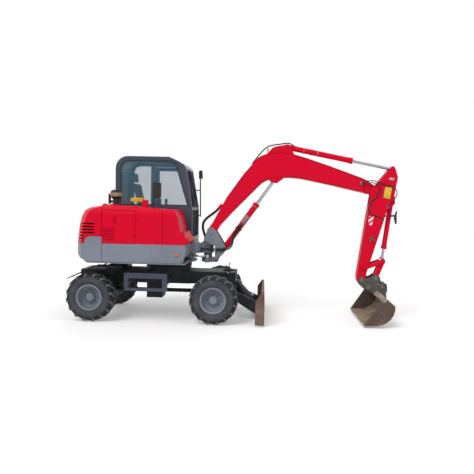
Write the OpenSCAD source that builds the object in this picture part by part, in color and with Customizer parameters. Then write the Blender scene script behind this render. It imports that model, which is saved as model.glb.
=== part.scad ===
// Compact wheeled excavator with swing boom, dozer blade and ditching bucket.
// Millimetres, +X forward, +Y left, +Z up, ground at z = 0.
// Points are measured forward from the slew axis and up from the ground.

/* [Machine] */
// Slew axis, measured from the middle of the whole length
slew_x = -1200; // [-1300:5:-1100]
// Wheelbase
wheelbase = 2100; // [1900:10:2300]
// Rear axle behind the slew axis
rear_axle_back = 1220; // [1100:10:1300]
// Track width between tyre middles
track = 1595; // [1500:5:1700]
// Gap between moving neighbours
move_gap = 6; // [5:1:12]
// Gap round a pin or a rod
pin_gap = 0.5; // [0.3:0.1:1]
// Seam between neighbouring body panels
seam = 5; // [4:1:8]

/* [Wheels] */
// Tyre diameter over the lugs
tyre_d = 831; // [780:1:880]
// Tyre width
tyre_w = 307; // [280:1:330]
// Rim flange diameter
flange_d = 444; // [420:1:470]
// Hub cap diameter
hub_cap_d = 145; // [120:1:180]
// How far the wheel disc stands outside the tyre middle
disc_out = 22; // [0:1:60]
// Lugs on each half of the tread
lug_n = 16; // [14:1:20]
// Height of a lug
lug_h = 28; // [20:1:34]
// Thickness of a lug
lug_t = 42; // [36:1:46]
// Slant of a lug against the axle
lug_slant = 30; // [20:1:35]

/* [Chassis] */
// Chassis box width
chassis_w = 660; // [560:10:700]
// Chassis box width between the front wheels
nose_w = 600; // [500:10:640]
// Top of the chassis box
chassis_top = 825; // [780:5:860]
// Bottom of the chassis box
chassis_bottom = 610; // [560:5:660]
// Chassis end behind the slew axis
chassis_rear = 1560; // [1400:10:1600]
// Chassis end ahead of the slew axis
chassis_front = 1215; // [1180:5:1260]
// Axle tube diameter
axle_d = 170; // [140:5:200]
// Differential housing diameter
diff_d = 290; // [240:5:320]
// Kingpin inside the tyre middle
kingpin_in = 197.5; // [180:0.5:250]
// Steering arm length behind the kingpin
steer_arm = 220; // [180:5:260]
// Thickness of a lashing eye
eye_t = 24; // [18:1:30]
// Bore of a lashing eye
eye_bore = 45; // [36:1:50]
// Slew ring diameter
ring_d = 770; // [700:5:820]

/* [Blade] */
// Blade width
blade_w = 1902; // [1700:2:2100]
// Blade pivot ahead of the slew axis
blade_pivot_x = 1150; // [1130:5:1180]
// Blade pivot height
blade_pivot_z = 450; // [430:5:480]
// Blade cylinder upper pin ahead of the slew axis
blade_top_x = 1065; // [1030:5:1100]
// Blade cylinder upper pin height
blade_top_z = 795; // [760:5:830]
// Blade cylinder lower pin ahead of the slew axis
blade_low_x = 1500; // [1470:5:1530]
// Blade cylinder lower pin height
blade_low_z = 340; // [320:5:360]

/* [Upper body] */
// Length of the engine hood behind its seam
hood_len = 624; // [580:2:660]
// Width of the upper body
upper_w = 1810; // [1700:10:1880]
// Underside of the skirt
skirt_bottom = 1025; // [1000:5:1060]
// Top of the skirt
skirt_top = 1332; // [1290:2:1370]
// Thickness of a body panel
panel_t = 30; // [20:1:40]
// Seam between engine hood and side door
hood_seam_x = -1016; // [-1060:2:-980]
// Seam between side door and side cover
door_seam_x = -444; // [-500:2:-400]
// Seam between side cover and front cover
front_seam_x = 16; // [-20:2:60]
// Top edge of the side door
side_door_top = 1900; // [1860:5:1920]
// Slots in each corner of the engine hood
slot_n = 6; // [4:1:6]
// Grooves of the side door's air grille
groove_n = 8; // [4:1:8]

/* [Cab] */
// Right cab wall
cab_right = -90; // [-120:5:-60]
// Left cab wall
cab_left = 900; // [860:5:905]
// Cab wall thickness
cab_t = 50; // [40:2:60]
// Glass thickness
glass_t = 8; // [5:1:10]
// Width of the ledge each pane rests on
ledge = 18; // [12:1:24]

/* [Swing post] */
// King pin ahead of the slew axis
king_x = 688; // [660:2:720]
// King pin diameter
king_d = 90; // [70:2:110]
// Swing cylinder offset to the right of the middle
swing_y = 190; // [170:5:210]
// Swing cylinder height
swing_z = 1094; // [1085:1:1100]
// Swing cylinder foot behind the slew axis
swing_back = 150; // [100:10:200]
// Inner width between the ears
ear_gap = 226; // [200:2:240]
// Thickness of an ear
ear_t = 40; // [30:2:50]

/* [Boom] */
// Boom foot pin ahead of the slew axis
boom_foot_x = 752; // [740:2:770]
// Boom foot pin height
boom_foot_z = 1520; // [1500:5:1540]
// Boom tip pin ahead of the slew axis
boom_tip_x = 3665; // [3640:5:3690]
// Boom tip pin height
boom_tip_z = 2319; // [2300:1:2340]
// Boom cylinder foot pin ahead of the slew axis
boom_cyl_x = 970; // [955:5:985]
// Boom cylinder foot pin height
boom_cyl_z = 1215; // [1200:5:1230]
// Boom cylinder head pin ahead of the slew axis
boom_lug_x = 1878; // [1860:2:1896]
// Boom cylinder head pin height
boom_lug_z = 2493; // [2480:1:2506]
// Arm cylinder foot pin ahead of the slew axis
arm_cyl_x = 2086; // [2070:2:2110]
// Arm cylinder foot pin above the boom's back
arm_pin_up = 103; // [90:1:120]
// Pin diameter of boom and arm
main_pin_d = 70; // [60:1:80]
// Pin diameter of the cylinders
cyl_pin_d = 50; // [40:1:56]

/* [Cylinders] */
// Boom cylinder tube diameter
boom_tube_d = 105; // [95:1:115]
// Boom cylinder rod diameter
boom_rod_d = 58; // [50:1:64]
// Boom cylinder tube length from its pin
boom_tube_l = 1030; // [1000:5:1050]
// Arm cylinder tube diameter
arm_tube_d = 98; // [88:1:104]
// Arm cylinder rod diameter
arm_rod_d = 54; // [48:1:60]
// Arm cylinder tube length from its pin
arm_tube_l = 1187; // [1160:1:1200]
// Bucket cylinder tube diameter
bucket_tube_d = 88; // [80:1:92]
// Bucket cylinder rod diameter
bucket_rod_d = 50; // [44:1:54]
// Bucket cylinder tube length from its pin
bucket_tube_l = 830; // [800:5:850]
// Blade cylinder tube diameter
blade_tube_d = 92; // [84:1:100]
// Blade cylinder rod diameter
blade_rod_d = 46; // [40:1:52]
// Blade cylinder tube length from its pin
blade_tube_l = 420; // [400:5:440]
// Swing cylinder tube diameter
swing_tube_d = 80; // [70:1:82]
// Swing cylinder rod diameter
swing_rod_d = 42; // [36:1:46]
// Swing cylinder tube length from its pin
swing_tube_l = 560; // [540:5:580]

/* [Arm and bucket] */
// Arm width
arm_w = 200; // [180:2:220]
// Arm fork plate thickness
fork_t = 30; // [24:1:34]
// Arm cylinder rod pin ahead of the slew axis
apex_x = 3942; // [3930:2:3956]
// Arm cylinder rod pin height
apex_z = 2709; // [2696:1:2722]
// Bucket cylinder foot pin ahead of the slew axis
stick_cyl_x = 3952; // [3944:2:3962]
// Bucket cylinder foot pin height
stick_cyl_z = 2110; // [2100:1:2120]
// Arm tip pin ahead of the slew axis
arm_tip_x = 3461; // [3450:1:3472]
// Arm tip pin height
arm_tip_z = 719; // [710:1:728]
// Rocker pin on the arm ahead of the slew axis
rocker_x = 3500; // [3492:1:3510]
// Rocker pin on the arm height
rocker_z = 943; // [930:1:956]
// Outer rocker pin ahead of the slew axis
elbow_x = 3825; // [3815:1:3835]
// Outer rocker pin height
elbow_z = 1067; // [1057:1:1077]
// Link pin on the coupler ahead of the slew axis
link_x = 3705; // [3696:1:3714]
// Link pin on the coupler height
link_z = 757; // [748:1:766]
// Bucket width
bucket_w = 1550; // [1400:10:1700]
// Bucket shell thickness
bucket_t = 14; // [10:1:18]
// Bucket side plate thickness
bucket_side_t = 22; // [16:1:26]

/* [Hidden] */
$fn = 48;

red = [0.80, 0.05, 0.12];
slate = [0.42, 0.45, 0.50];
cab_dark = [0.20, 0.22, 0.28];
black = [0.10, 0.10, 0.11];
rubber = [0.16, 0.16, 0.17];
rim_grey = [0.55, 0.57, 0.60];
rust = [0.36, 0.24, 0.18];
chrome = [0.85, 0.85, 0.87];
glass_tint = [0.70, 0.80, 0.82, 0.35];

seat_gap = 0.3;
axle_z = tyre_d / 2;
kingpin_track = track - 2 * kingpin_in;
tail_r = hood_len - hood_seam_x;
rear_x = -rear_axle_back;
front_x = wheelbase - rear_axle_back;
half = upper_w / 2;
hub_deep = 76;
hub_in = track / 2 - hub_deep - seat_gap;
floor_z = 1000;
floor_t = skirt_bottom - floor_z;
hood_top = 1985;
cleaner_at = [-883, -500, 0];
cleaner_z = 1992;
hood_hinge_d = 12;
hood_hinge_y = [180, 640];
hood_hinge = [hood_seam_x - seam / 2, hood_top + hood_hinge_d / 2 + 5];
side_hinge_d = 8;
side_hinge = [door_seam_x - seam / 2, -half - side_hinge_d / 2 - 5];
cab_hinge_d = 14;
cab_hinge = [-480 + seam / 2, cab_left + cab_hinge_d / 2 + 5];
cover_bottom = skirt_top;
blade_pivot = [blade_pivot_x, blade_pivot_z];
blade_top = [blade_top_x, blade_top_z];
blade_low = [blade_low_x, blade_low_z];
boom_foot = [boom_foot_x, boom_foot_z];
boom_tip = [boom_tip_x, boom_tip_z];
boom_cyl = [boom_cyl_x, boom_cyl_z];
boom_lug = [boom_lug_x, boom_lug_z];
boom_back_z = 2970;
arm_cyl_z = boom_back_z + arm_pin_up;
arm_cyl = [arm_cyl_x, arm_cyl_z];
apex = [apex_x, apex_z];
stick_cyl = [stick_cyl_x, stick_cyl_z];
arm_tip = [arm_tip_x, arm_tip_z];
rocker_pin = [rocker_x, rocker_z];
elbow = [elbow_x, elbow_z];
link_pin = [link_x, link_z];
slot_w = blade_tube_d + 32;
hose_clamp_x = 830;
lift_route = [[640, -55, 1400], [636, -55, 1440], [608, -55, 1530], [592, -55, 1610], [602, -55, 1690],
  [650, -55, 1762],
  [716, -55, 1818], [780, -55, 1866], [836, -55, 1914], [880, -55, 1960]];
swing_route = [[571, -200, 1215], [630, -204, 1222], [690, -202, 1222], [750, -192, 1218], [812, -182, 1216]];
cylinder_route = [[846, -180, 1215], [910, -182, 1215], [975, -180, 1218], [1040, -172, 1232],
  [1095, -156, 1264], [1126, -130, 1316],
  [1136, -100, 1376], [1144, -78, 1434], [1163, -70, 1482]];
cylinder_turn = [90, 90, 90, 100, 115, 130, 140, 145, 145];
top_route = [[1512, -60, 2826], [1545, -60, 2872], [1590, -60, 2930], [1640, -62, 2988],
  [1690, -64, arm_cyl_z - 37],
  [1740, -66, arm_cyl_z], [1795, -67, arm_cyl_z + 21], [1850, -67, arm_cyl_z + 31],
  [1905, -67, arm_cyl_z + 39],
  [1960, -67, arm_cyl_z + 47], [2015, -67, arm_cyl_z + 57], [2070, -66, arm_cyl_z + 65],
  [2120, -60, arm_cyl_z + 61],
  [2158, -50, arm_cyl_z + 47], [2186, -40, arm_cyl_z + 29]];
dump_route = [[3420, -117, 2436], [3470, -117, 2440], [3520, -117, 2452], [3570, -117, 2460],
  [3620, -116, 2456], [3666, -114, 2440],
  [3706, -112, 2412], [3734, -112, 2372], [3744, -112, 2326], [3732, -112, 2280], [3704, -112, 2236],
  [3670, -112, 2196],
  [3630, -112, 2160], [3590, -112, 2118], [3560, -112, 2072], [3543, -112, 2020], [3545, -112, 1970],
  [3570, -112, 1922],
  [3615, -112, 1892], [3668, -112, 1876], [3720, -112, 1864], [3766, -112, 1846], [3800, -112, 1812]];
curl_route = [[3420, -117, 2468], [3475, -117, 2474], [3530, -117, 2490], [3585, -116, 2496],
  [3640, -114, 2490], [3690, -112, 2472],
  [3745, -112, 2450], [3800, -112, 2436], [3856, -112, 2424], [3912, -112, 2408], [3965, -112, 2386],
  [4006, -112, 2352],
  [4028, -112, 2306], [4028, -112, 2256], [4008, -112, 2208], [3978, -112, 2164], [3946, -112, 2122],
  [3916, -112, 2080],
  [3888, -112, 2037]];
pipe_side = [-unit(boom_lug - boom_cyl)[1], unit(boom_lug - boom_cyl)[0]];
function swing_pair(z) = [for (p = swing_route) p + [0, 0, z]];
function cylinder_pair(z) = [for (i = [0:len(cylinder_route) - 1])
  cylinder_route[i] + z * [cos(cylinder_turn[i]), 0, sin(cylinder_turn[i])]];

// Outline moved outward by d, corners kept sharp, counter-clockwise points
function unit(v) = v / norm(v);
function side(a, b) = [unit(b - a)[1], -unit(b - a)[0]];
function miter(m, d) = m * (2 * d / (m * m));
function corner(a, b, c, d) = b + miter(side(a, b) + side(b, c), d);
function grow(p, d) = [for (i = [0:len(p) - 1])
  corner(p[(i + len(p) - 1) % len(p)], p[i], p[(i + 1) % len(p)], d)];
// Round arc of points about c from angle a to angle b
function arc(c, r, a, b, n) = [for (i = [0:n]) c + r * [cos(a + (b - a) * i / n), sin(a + (b - a) * i / n)]];
function lean(p, q) = atan2(q[1] - p[1], q[0] - p[0]);

module m() {
  translate([slew_x, 0, 0]) children();
}

// Outline in x and z, between two y planes
module slab(p, y0, y1) {
  translate([0, y1, 0]) rotate([90, 0, 0]) linear_extrude(height = y1 - y0) polygon(p);
}

// Outline in y and z, between two x planes
module prism(p, x0, x1) {
  translate([x0, 0, 0]) rotate([90, 0, 90]) linear_extrude(height = x1 - x0) polygon(p);
}

module pin_y(p, d, y0, y1) {
  translate([p[0], y1, p[1]]) rotate([90, 0, 0]) cylinder(d = d, h = y1 - y0);
}

// Round bar along a line in x and z, from distance a to distance b on the line from p to q
module bar(p, q, d, a, b, y = 0) {
  translate([p[0], y, p[1]]) rotate([0, 90 - lean(p, q), 0]) translate([0, 0, a])
    cylinder(d = d, h = b - a);
}

module box(x0, x1, y0, y1, z0, z1) {
  translate([x0, y0, z0]) cube([x1 - x0, y1 - y0, z1 - z0]);
}

// Hinge along z at p, its leaf on the plane y = face reaching towards sx,
// with a bored knuckle or with the pin
module leaf(p, face, z, sx, d, pin) {
  difference() {
    union() {
      translate([p[0], p[1], z]) cylinder(d = d + 8, h = 40);
      translate([min(p[0], p[0] + sx * 40), min(face, p[1]), z]) cube([40, abs(p[1] - face), 40]);
    }
    if (!pin) translate([p[0], p[1], z - 1]) cylinder(d = d + 2 * pin_gap, h = 42);
  }
  if (pin) translate([p[0], p[1], z - 40]) cylinder(d = d, h = 60);
}

module both_sides() {
  children();
  mirror([0, 1, 0]) children();
}

// Hose of diameter d swept along the points p, which never run along y
function way(p, i) = unit(p[min(i + 1, len(p) - 1)] - p[max(i - 1, 0)]);
function across(t) = unit(cross(t, [0, 1, 0]));
function ring(c, t, r, n) = [for (k = [0:n - 1])
  c + r * (cos(360 * k / n) * across(t) + sin(360 * k / n) * cross(across(t), t))];
module hose(p, d, n = 10) {
  last = len(p) - 1;
  polyhedron([for (i = [0:last]) each ring(p[i], way(p, i), d / 2, n)],
    concat([[for (k = [0:n - 1]) k]], [[for (k = [0:n - 1]) last * n + n - 1 - k]],
    [for (i = [0:last - 1], k = [0:n - 1]) [i * n + k, (i + 1) * n + k, i * n + (k + 1) % n]],
    [for (i = [0:last - 1], k = [0:n - 1]) [(i + 1) * n + k, (i + 1) * n + (k + 1) % n,
    i * n + (k + 1) % n]]));
}

// Round coupling that takes up the first or the last end of the hose along p
module coupling(p, first, d, long) {
  i = first ? 0 : len(p) - 1;
  t = first ? -way(p, i) : way(p, i);
  translate(p[i] + seat_gap * t) rotate([0, acos(t[2]), atan2(t[1], t[0])]) cylinder(d = d, h = long);
}

// Cylinder tube from its foot pin p towards q
module tube(p, q, tube_d, rod_d, len, eye_w, pin_d) {
  eye_d = pin_d + 46;
  difference() {
    union() {
      pin_y(p, eye_d, -eye_w / 2, eye_w / 2);
      bar(p, q, tube_d, eye_d / 2 - 8, len - 60);
      bar(p, q, tube_d + 14, len - 70, len);
    }
    pin_y(p, pin_d + 2 * pin_gap, -eye_w, eye_w);
    bar(p, q, rod_d + 2 * pin_gap, eye_d / 2 + 20, len + 1);
  }
}

// Clamp band round a cylinder tube, at distance a from its foot pin
module band(p, q, tube_d, a) {
  difference() {
    bar(p, q, tube_d + 12, a, a + 30);
    bar(p, q, tube_d - 8, a - 1, a + 31);
  }
}

// Cylinder rod with its eye at q, reaching back towards the foot pin p
module rod(p, q, rod_d, len, eye_w, pin_d) {
  eye_d = pin_d + 40;
  difference() {
    union() {
      pin_y(q, eye_d, -eye_w / 2, eye_w / 2);
      bar(q, p, rod_d, eye_d / 2 - 8, len);
    }
    pin_y(q, pin_d + 2 * pin_gap, -eye_w, eye_w);
  }
}

// Chassis
module chassis_frame() {
  color(black) m() difference() {
    union() {
      box(-chassis_rear, 420, -chassis_w / 2, chassis_w / 2, chassis_bottom, chassis_top);
      box(400, chassis_front, -nose_w / 2, nose_w / 2, chassis_bottom, chassis_top);
      box(blade_pivot_x - 60, chassis_front, -nose_w / 2, nose_w / 2, blade_pivot_z - 60,
        chassis_bottom + 10);
      pin_y(blade_pivot, 60, -nose_w / 2 - 78, nose_w / 2 + 78);
      both_sides() slab([[blade_top_x - 90, chassis_top - 5], [blade_top_x + 110, chassis_top - 5],
        [blade_top_x + 60, blade_top_z + 50],
        [blade_top_x - 50, blade_top_z + 70]], slot_w / 2, slot_w / 2 + 34);
      translate([blade_top_x + 15, -slot_w / 2 - 17, blade_top_z + 40]) rotate([0, 6, 0]) cylinder(d = 14,
        h = 135);
      translate([blade_top_x + 29, -slot_w / 2 - 17, blade_top_z + 172]) sphere(d = 26);
    }
    box(blade_top_x - 105, chassis_front + 1, -slot_w / 2, slot_w / 2, blade_pivot_z + 20, chassis_top + 1);
    pin_y(blade_top, cyl_pin_d + 2 * pin_gap, -400, 400);
  }
}

module slew_ring() {
  color(black) m() translate([0, 0, chassis_top]) {
    cylinder(d = ring_d, h = floor_z - 95 - chassis_top);
    cylinder(d = ring_d - 90, h = floor_z - 89 - chassis_top - seat_gap);
  }
}

module turntable() {
  color(slate) m() translate([0, 0, floor_z - 89]) cylinder(d = ring_d + 12, h = 89);
}

module axle_beam(x, half_l, nose_dir) {
  translate([x, half_l, axle_z]) rotate([90, 0, 0]) cylinder(d = axle_d, h = 2 * half_l);
  translate([x, 0, axle_z]) sphere(d = diff_d);
  translate([x, 0, axle_z + 25]) rotate([0, 90 * nose_dir, 0]) cylinder(d = 90, h = 265);
  both_sides() box(x - 70, x + 70, 190, 290, axle_z, chassis_bottom);
}

module rear_axle() {
  color(black) m() axle_beam(rear_x, hub_in, 1);
}

module front_axle() {
  color(black) m() difference() {
    union() {
      axle_beam(front_x, kingpin_track / 2 - 65, -1);
      both_sides() box(front_x - 50, front_x + 50, kingpin_track / 2 - 100, kingpin_track / 2, axle_z - 65,
        axle_z + 65);
      both_sides() translate([front_x, kingpin_track / 2, axle_z - 70]) cylinder(d = 120, h = 140);
    }
    both_sides() translate([front_x, kingpin_track / 2, 0]) cylinder(d = 50 + 2 * pin_gap, h = 900);
  }
}

module drive_line() {
  color(black) m() {
    box(-400, -120, -170, 170, 320, chassis_bottom);
    translate([-120, 0, axle_z + 25]) rotate([0, 90, 0]) cylinder(d = 70, h = front_x - 265 + 120);
    translate([rear_x + 265, 0, axle_z + 25]) rotate([0, 90, 0]) cylinder(d = 70, h = -400 - rear_x - 265);
  }
}

module step_frame() {
  difference() {
    slab([[-632, 560], [-612, 543], [82, 543], [102, 560], [102, 826], [82, 843], [-612, 843], [-632, 826]],
      half - 45, half);
    box(-555, 16, half - 60, half + 1, 595, 755);
  }
  for (x = [-610, 30]) box(x, x + 50, chassis_w / 2, half - 40, 640, 720);
}

module side_steps() {
  color(cab_dark) m() both_sides() step_frame();
}

module rear_mudguards() {
  color(black) m() both_sides() {
    slab([[-1603, 735], [-1599, 723], [-1139, 940], [-740, 940], [-740, 952], [-1143, 952]],
      track / 2 - tyre_w / 2 - 5, track / 2 + tyre_w / 2 - 10);
    box(-1000, -880, chassis_w / 2, track / 2 - tyre_w / 2 + 20, chassis_top - 40, 945);
  }
}

module lashing_eyes() {
  color(black) m() both_sides() {
    difference() {
      box(250, 350, chassis_w / 2, chassis_w / 2 + eye_t, chassis_bottom + 20, chassis_bottom + 120);
      pin_y([300, chassis_bottom + 70], eye_bore, chassis_w / 2 - 1, chassis_w / 2 + 60);
    }
    difference() {
      box(4 - chassis_rear, 4 - chassis_rear + eye_t, 200, 300, chassis_bottom - 100, chassis_bottom);
      translate([-chassis_rear, 250, chassis_bottom - 50]) rotate([0, 90, 0]) cylinder(d = eye_bore, h = 60);
    }
  }
}

// Steering, drawn for the left side
module knuckle() {
  ky = kingpin_track / 2;
  difference() {
    union() {
      for (z = [axle_z - 70 - move_gap - 34, axle_z + 70 + move_gap]) {
        translate([front_x, ky, z]) cylinder(d = 110, h = 34);
        box(front_x - 55, front_x + 55, ky, ky + 100, z, z + 34);
      }
      box(front_x - 55, front_x + 55, ky + 68, ky + 100, axle_z - 110, axle_z + 110);
      translate([front_x, hub_in, axle_z]) rotate([90, 0, 0]) cylinder(d = 120, h = hub_in - ky - 80);
    }
    translate([front_x, ky, 0]) cylinder(d = 50 + 2 * pin_gap, h = 900);
  }
  translate([front_x, ky, axle_z - 70 - move_gap - 34]) cylinder(d = 50, h = 208 + 2 * move_gap);
  difference() {
    box(front_x - steer_arm - 30, front_x - 40, ky - 24, ky + 24, axle_z - 110, axle_z - 82);
    translate([front_x - steer_arm, ky, 0]) cylinder(d = 26, h = 900);
  }
}

module knuckle_left() {
  color(black) m() knuckle();
}

module knuckle_right() {
  color(black) m() mirror([0, 1, 0]) knuckle();
}

module tie_rod() {
  z = axle_z - 82 + 2;
  color(black) m() {
    translate([front_x - steer_arm, kingpin_track / 2 - 20, z + 18]) rotate([90, 0, 0])
      cylinder(d = 32, h = kingpin_track - 40);
    both_sides() {
      translate([front_x - steer_arm, kingpin_track / 2, z]) cylinder(d = 54, h = 36);
      translate([front_x - steer_arm, kingpin_track / 2, z - 30]) cylinder(d = 26 - 2 * pin_gap, h = 40);
    }
  }
}

// Wheels, drawn about their own axle with the outside towards +Y
module lug() {
  r = tyre_d / 2;
  b = r - lug_h;
  far = (tyre_w - lug_t * sin(lug_slant)) / 2 / cos(lug_slant);
  rotate([0, 0, lug_slant]) prism([[-8, b - 30], [far - 12, b - 66], [far + 2, b - 62], [far - 4, r - 32],
    [far - 34, r - 12],
    [-8, r - 1]], -lug_t / 2, lug_t / 2);
}

// Ring of flat sectors round the axle, through the points [radius, y] of p
module sector_ring(p, n) {
  k = len(p);
  polyhedron([for (i = [0:n - 1], q = p) [q[0] * sin(360 * i / n), q[1], q[0] * cos(360 * i / n)]],
    [for (i = [0:n - 1], j = [0:k - 1])
      [i * k + j, i * k + (j + 1) % k, (i + 1) % n * k + (j + 1) % k, (i + 1) % n * k + j]]);
}

module tyre() {
  n = lug_n;
  b = tyre_d / 2 - lug_h;
  f = (flange_d / 2 - 18) / cos(180 / n);
  w = tyre_w / 2;
  sector_ring([[f, -w + 22], [f + 24, -w + 22], [f + 70, -w], [b, -w + 36], [b, w - 36], [f + 70, w],
    [f + 24, w - 22],
    [f, w - 22]], n);
  for (s = [0, 1], i = [0:lug_n - 1]) rotate([0, 360 * (i + s / 2) / lug_n, 0]) mirror([0, s, 0]) lug();
}

module rim() {
  f = flange_d / 2;
  w = tyre_w / 2 - 22;
  rotate([-90, 0, 0]) rotate_extrude($fn = 96) polygon([[0, -hub_deep], [75, -hub_deep], [75, disc_out - 16],
    [f - 70, disc_out - 16], [f - 30, -30], [f - 30, -w], [f - 18.5, -w - 12], [f, -w - 12],
    [f, -w - seat_gap],
    [f - 18 - seat_gap, -w - seat_gap], [f - 18 - seat_gap, w + seat_gap], [f, w + seat_gap], [f, w + 12],
    [f - 18.5, w + 12], [f - 30, w],
    [f - 42, disc_out + 10], [f - 72, disc_out], [hub_cap_d / 2, disc_out], [hub_cap_d / 2, disc_out + 50],
    [hub_cap_d / 2 - 12, disc_out + 62], [0, disc_out + 62]]);
}

module wheel_at(x, s) {
  m() translate([x, s * track / 2, axle_z]) mirror([0, s < 0 ? 1 : 0, 0]) children();
}

module tyre_front_left() {
  color(rubber) wheel_at(front_x, 1) tyre();
}

module rim_front_left() {
  color(rim_grey) wheel_at(front_x, 1) rim();
}

module tyre_front_right() {
  color(rubber) wheel_at(front_x, -1) tyre();
}

module rim_front_right() {
  color(rim_grey) wheel_at(front_x, -1) rim();
}

module tyre_rear_left() {
  color(rubber) wheel_at(rear_x, 1) tyre();
}

module rim_rear_left() {
  color(rim_grey) wheel_at(rear_x, 1) rim();
}

module tyre_rear_right() {
  color(rubber) wheel_at(rear_x, -1) tyre();
}

module rim_rear_right() {
  color(rim_grey) wheel_at(rear_x, -1) rim();
}

// Dozer blade
module moldboard() {
  h = blade_w / 2;
  color(rust) m() {
    slab([[1690, 30], [1741, 30], [1716, 130], [1704, 260], [1704, 400], [1714, 500], [1722, 550],
      [1690, 550],
      [1676, 440], [1668, 300], [1668, 80]], -h + 10, h - 10);
    both_sides() slab([[1586, 30], [1741, 30], [1722, 550], [1676, 550], [1592, 425]], h - 16, h);
  }
}

module blade_arms() {
  y0 = nose_w / 2 + move_gap;
  color(rust) m() difference() {
    union() {
      both_sides() {
        slab([[1170, 395], [1298, 282], [1578, 112], [1668, 90], [1668, 300], [1581, 336], [1295, 467],
          [1160, 510]], y0, y0 + 70);
        pin_y(blade_pivot, 122, y0, y0 + 70);
      }
      box(1440, 1668, -y0 - 10, y0 + 10, 170, 230);
      both_sides() slab([[blade_low_x - 60, 200], [1640, 200], [blade_low_x + 50, blade_low_z + 20],
        [blade_low_x + 20, blade_low_z + 48], [blade_low_x - 25, blade_low_z + 45],
        [blade_low_x - 50, blade_low_z]],
        50, 80);
    }
    pin_y(blade_pivot, 60 + 2 * pin_gap, -900, 900);
    pin_y(blade_low, cyl_pin_d, -900, 900);
  }
}

module blade_barrel() {
  color(rust) m() {
    tube(blade_low, blade_top, blade_tube_d, blade_rod_d, blade_tube_l, 88, cyl_pin_d);
    pin_y(blade_low, cyl_pin_d - 2 * pin_gap, -84, 84);
  }
}

module blade_rod() {
  color(chrome) m() rod(blade_low, blade_top, blade_rod_d, 430, slot_w - 2 * move_gap, cyl_pin_d);
}

// Upper body
module tail_shape(t) {
  rotate_extrude($fn = 96) polygon([[0, skirt_bottom], [tail_r - 98 - t, skirt_bottom],
    [tail_r - 40 - t, skirt_bottom + 28],
    [tail_r - 6 - t, skirt_bottom + 84], [tail_r - t, skirt_bottom + 130], [tail_r - t, 1320],
    [tail_r - 30 - t, 1611],
    [tail_r - 68 - t, 1771 - t / 2], [tail_r - 124 - t, 1881 - t], [tail_r - 209 - t, 1932 - t],
    [tail_r - 493 - t, hood_top - t], [0, hood_top - t]]);
}

module side_shape(t) {
  h = half - t;
  prism([[-h, 900], [h, 900], [h, 1840 - t], [h - 12, 1890 - t], [h - 42, 1935 - t], [h - 90, 1965 - t],
    [h - 150, 1990 - t], [-h + 150, 1990 - t], [-h + 90, 1965 - t], [-h + 42, 1935 - t], [-h + 12, 1890 - t],
    [-h, 1840 - t]], -tail_r - 10, 900);
}

cover_line = [[-1700, 1200], [400, 1200], [397, 1333], [460, 1383], [456, 1433], [396, 1451], [375, 1545],
  [315, 1548], [272, 1783], [201, 1923], [-26, 1926], [-349, 1952], [-632, 1973], [-935, 1983],
  [-1700, 1983]];

module cover_shape(t) {
  intersection() {
    side_shape(t);
    slab(grow(cover_line, -t), -half - 1, cab_right - seam - t);
  }
}

module shell_part(x0, x1, y1, z0, z1) {
  intersection() {
    difference() {
      cover_shape(0);
      cover_shape(panel_t);
    }
    box(x0, x1, -half - 1, y1, z0, z1);
  }
}

module corner_block(g) {
  x = 330 - tail_r;
  slab(grow([[x, 1300], [hood_seam_x - 1, 1300], [hood_seam_x - 1, 1450], [x + 80, 1450], [x + 25, 1425],
    [x, 1380]], g),
    -half - 1, -half + 45 + g);
}

module counterweight() {
  color(slate) m() intersection() {
    tail_shape(0);
    side_shape(0);
    difference() {
      union() {
        box(-tail_r - 1, hood_seam_x, -half - 1, half + 1, skirt_bottom, skirt_top);
        corner_block(0);
      }
      intersection() {
        translate([0, 0, floor_z]) cylinder(r = tail_r - 130, h = 700, $fn = 96);
        box(-tail_r, hood_seam_x + 1, -half + 45, half - 45, floor_z, skirt_top + 300);
      }
    }
  }
}

// Air slots round the corner of the tail, the lowest two cut short above the corner block
module hood_slots() {
  for (i = [0:slot_n - 1]) box(200 - tail_r, (i < 2 ? 310 : 500) - tail_r, -half - 1, -half + 150,
    1400 + 50 * i, 1424 + 50 * i);
}

module engine_hood() {
  color(red) m() difference() {
    intersection() {
      tail_shape(0);
      side_shape(0);
      box(-tail_r - 1, hood_seam_x - seam, -half - 1, half + 1, cover_bottom + seam, 2100);
    }
    intersection() {
      tail_shape(panel_t);
      side_shape(panel_t);
    }
    corner_block(seam);
    both_sides() hood_slots();
  }
  color(red) m() for (z = hood_hinge_y) rotate([90, 0, 0]) leaf(hood_hinge, hood_top - panel_t + 2, z + 42,
    -1, hood_hinge_d, true);
}

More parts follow.
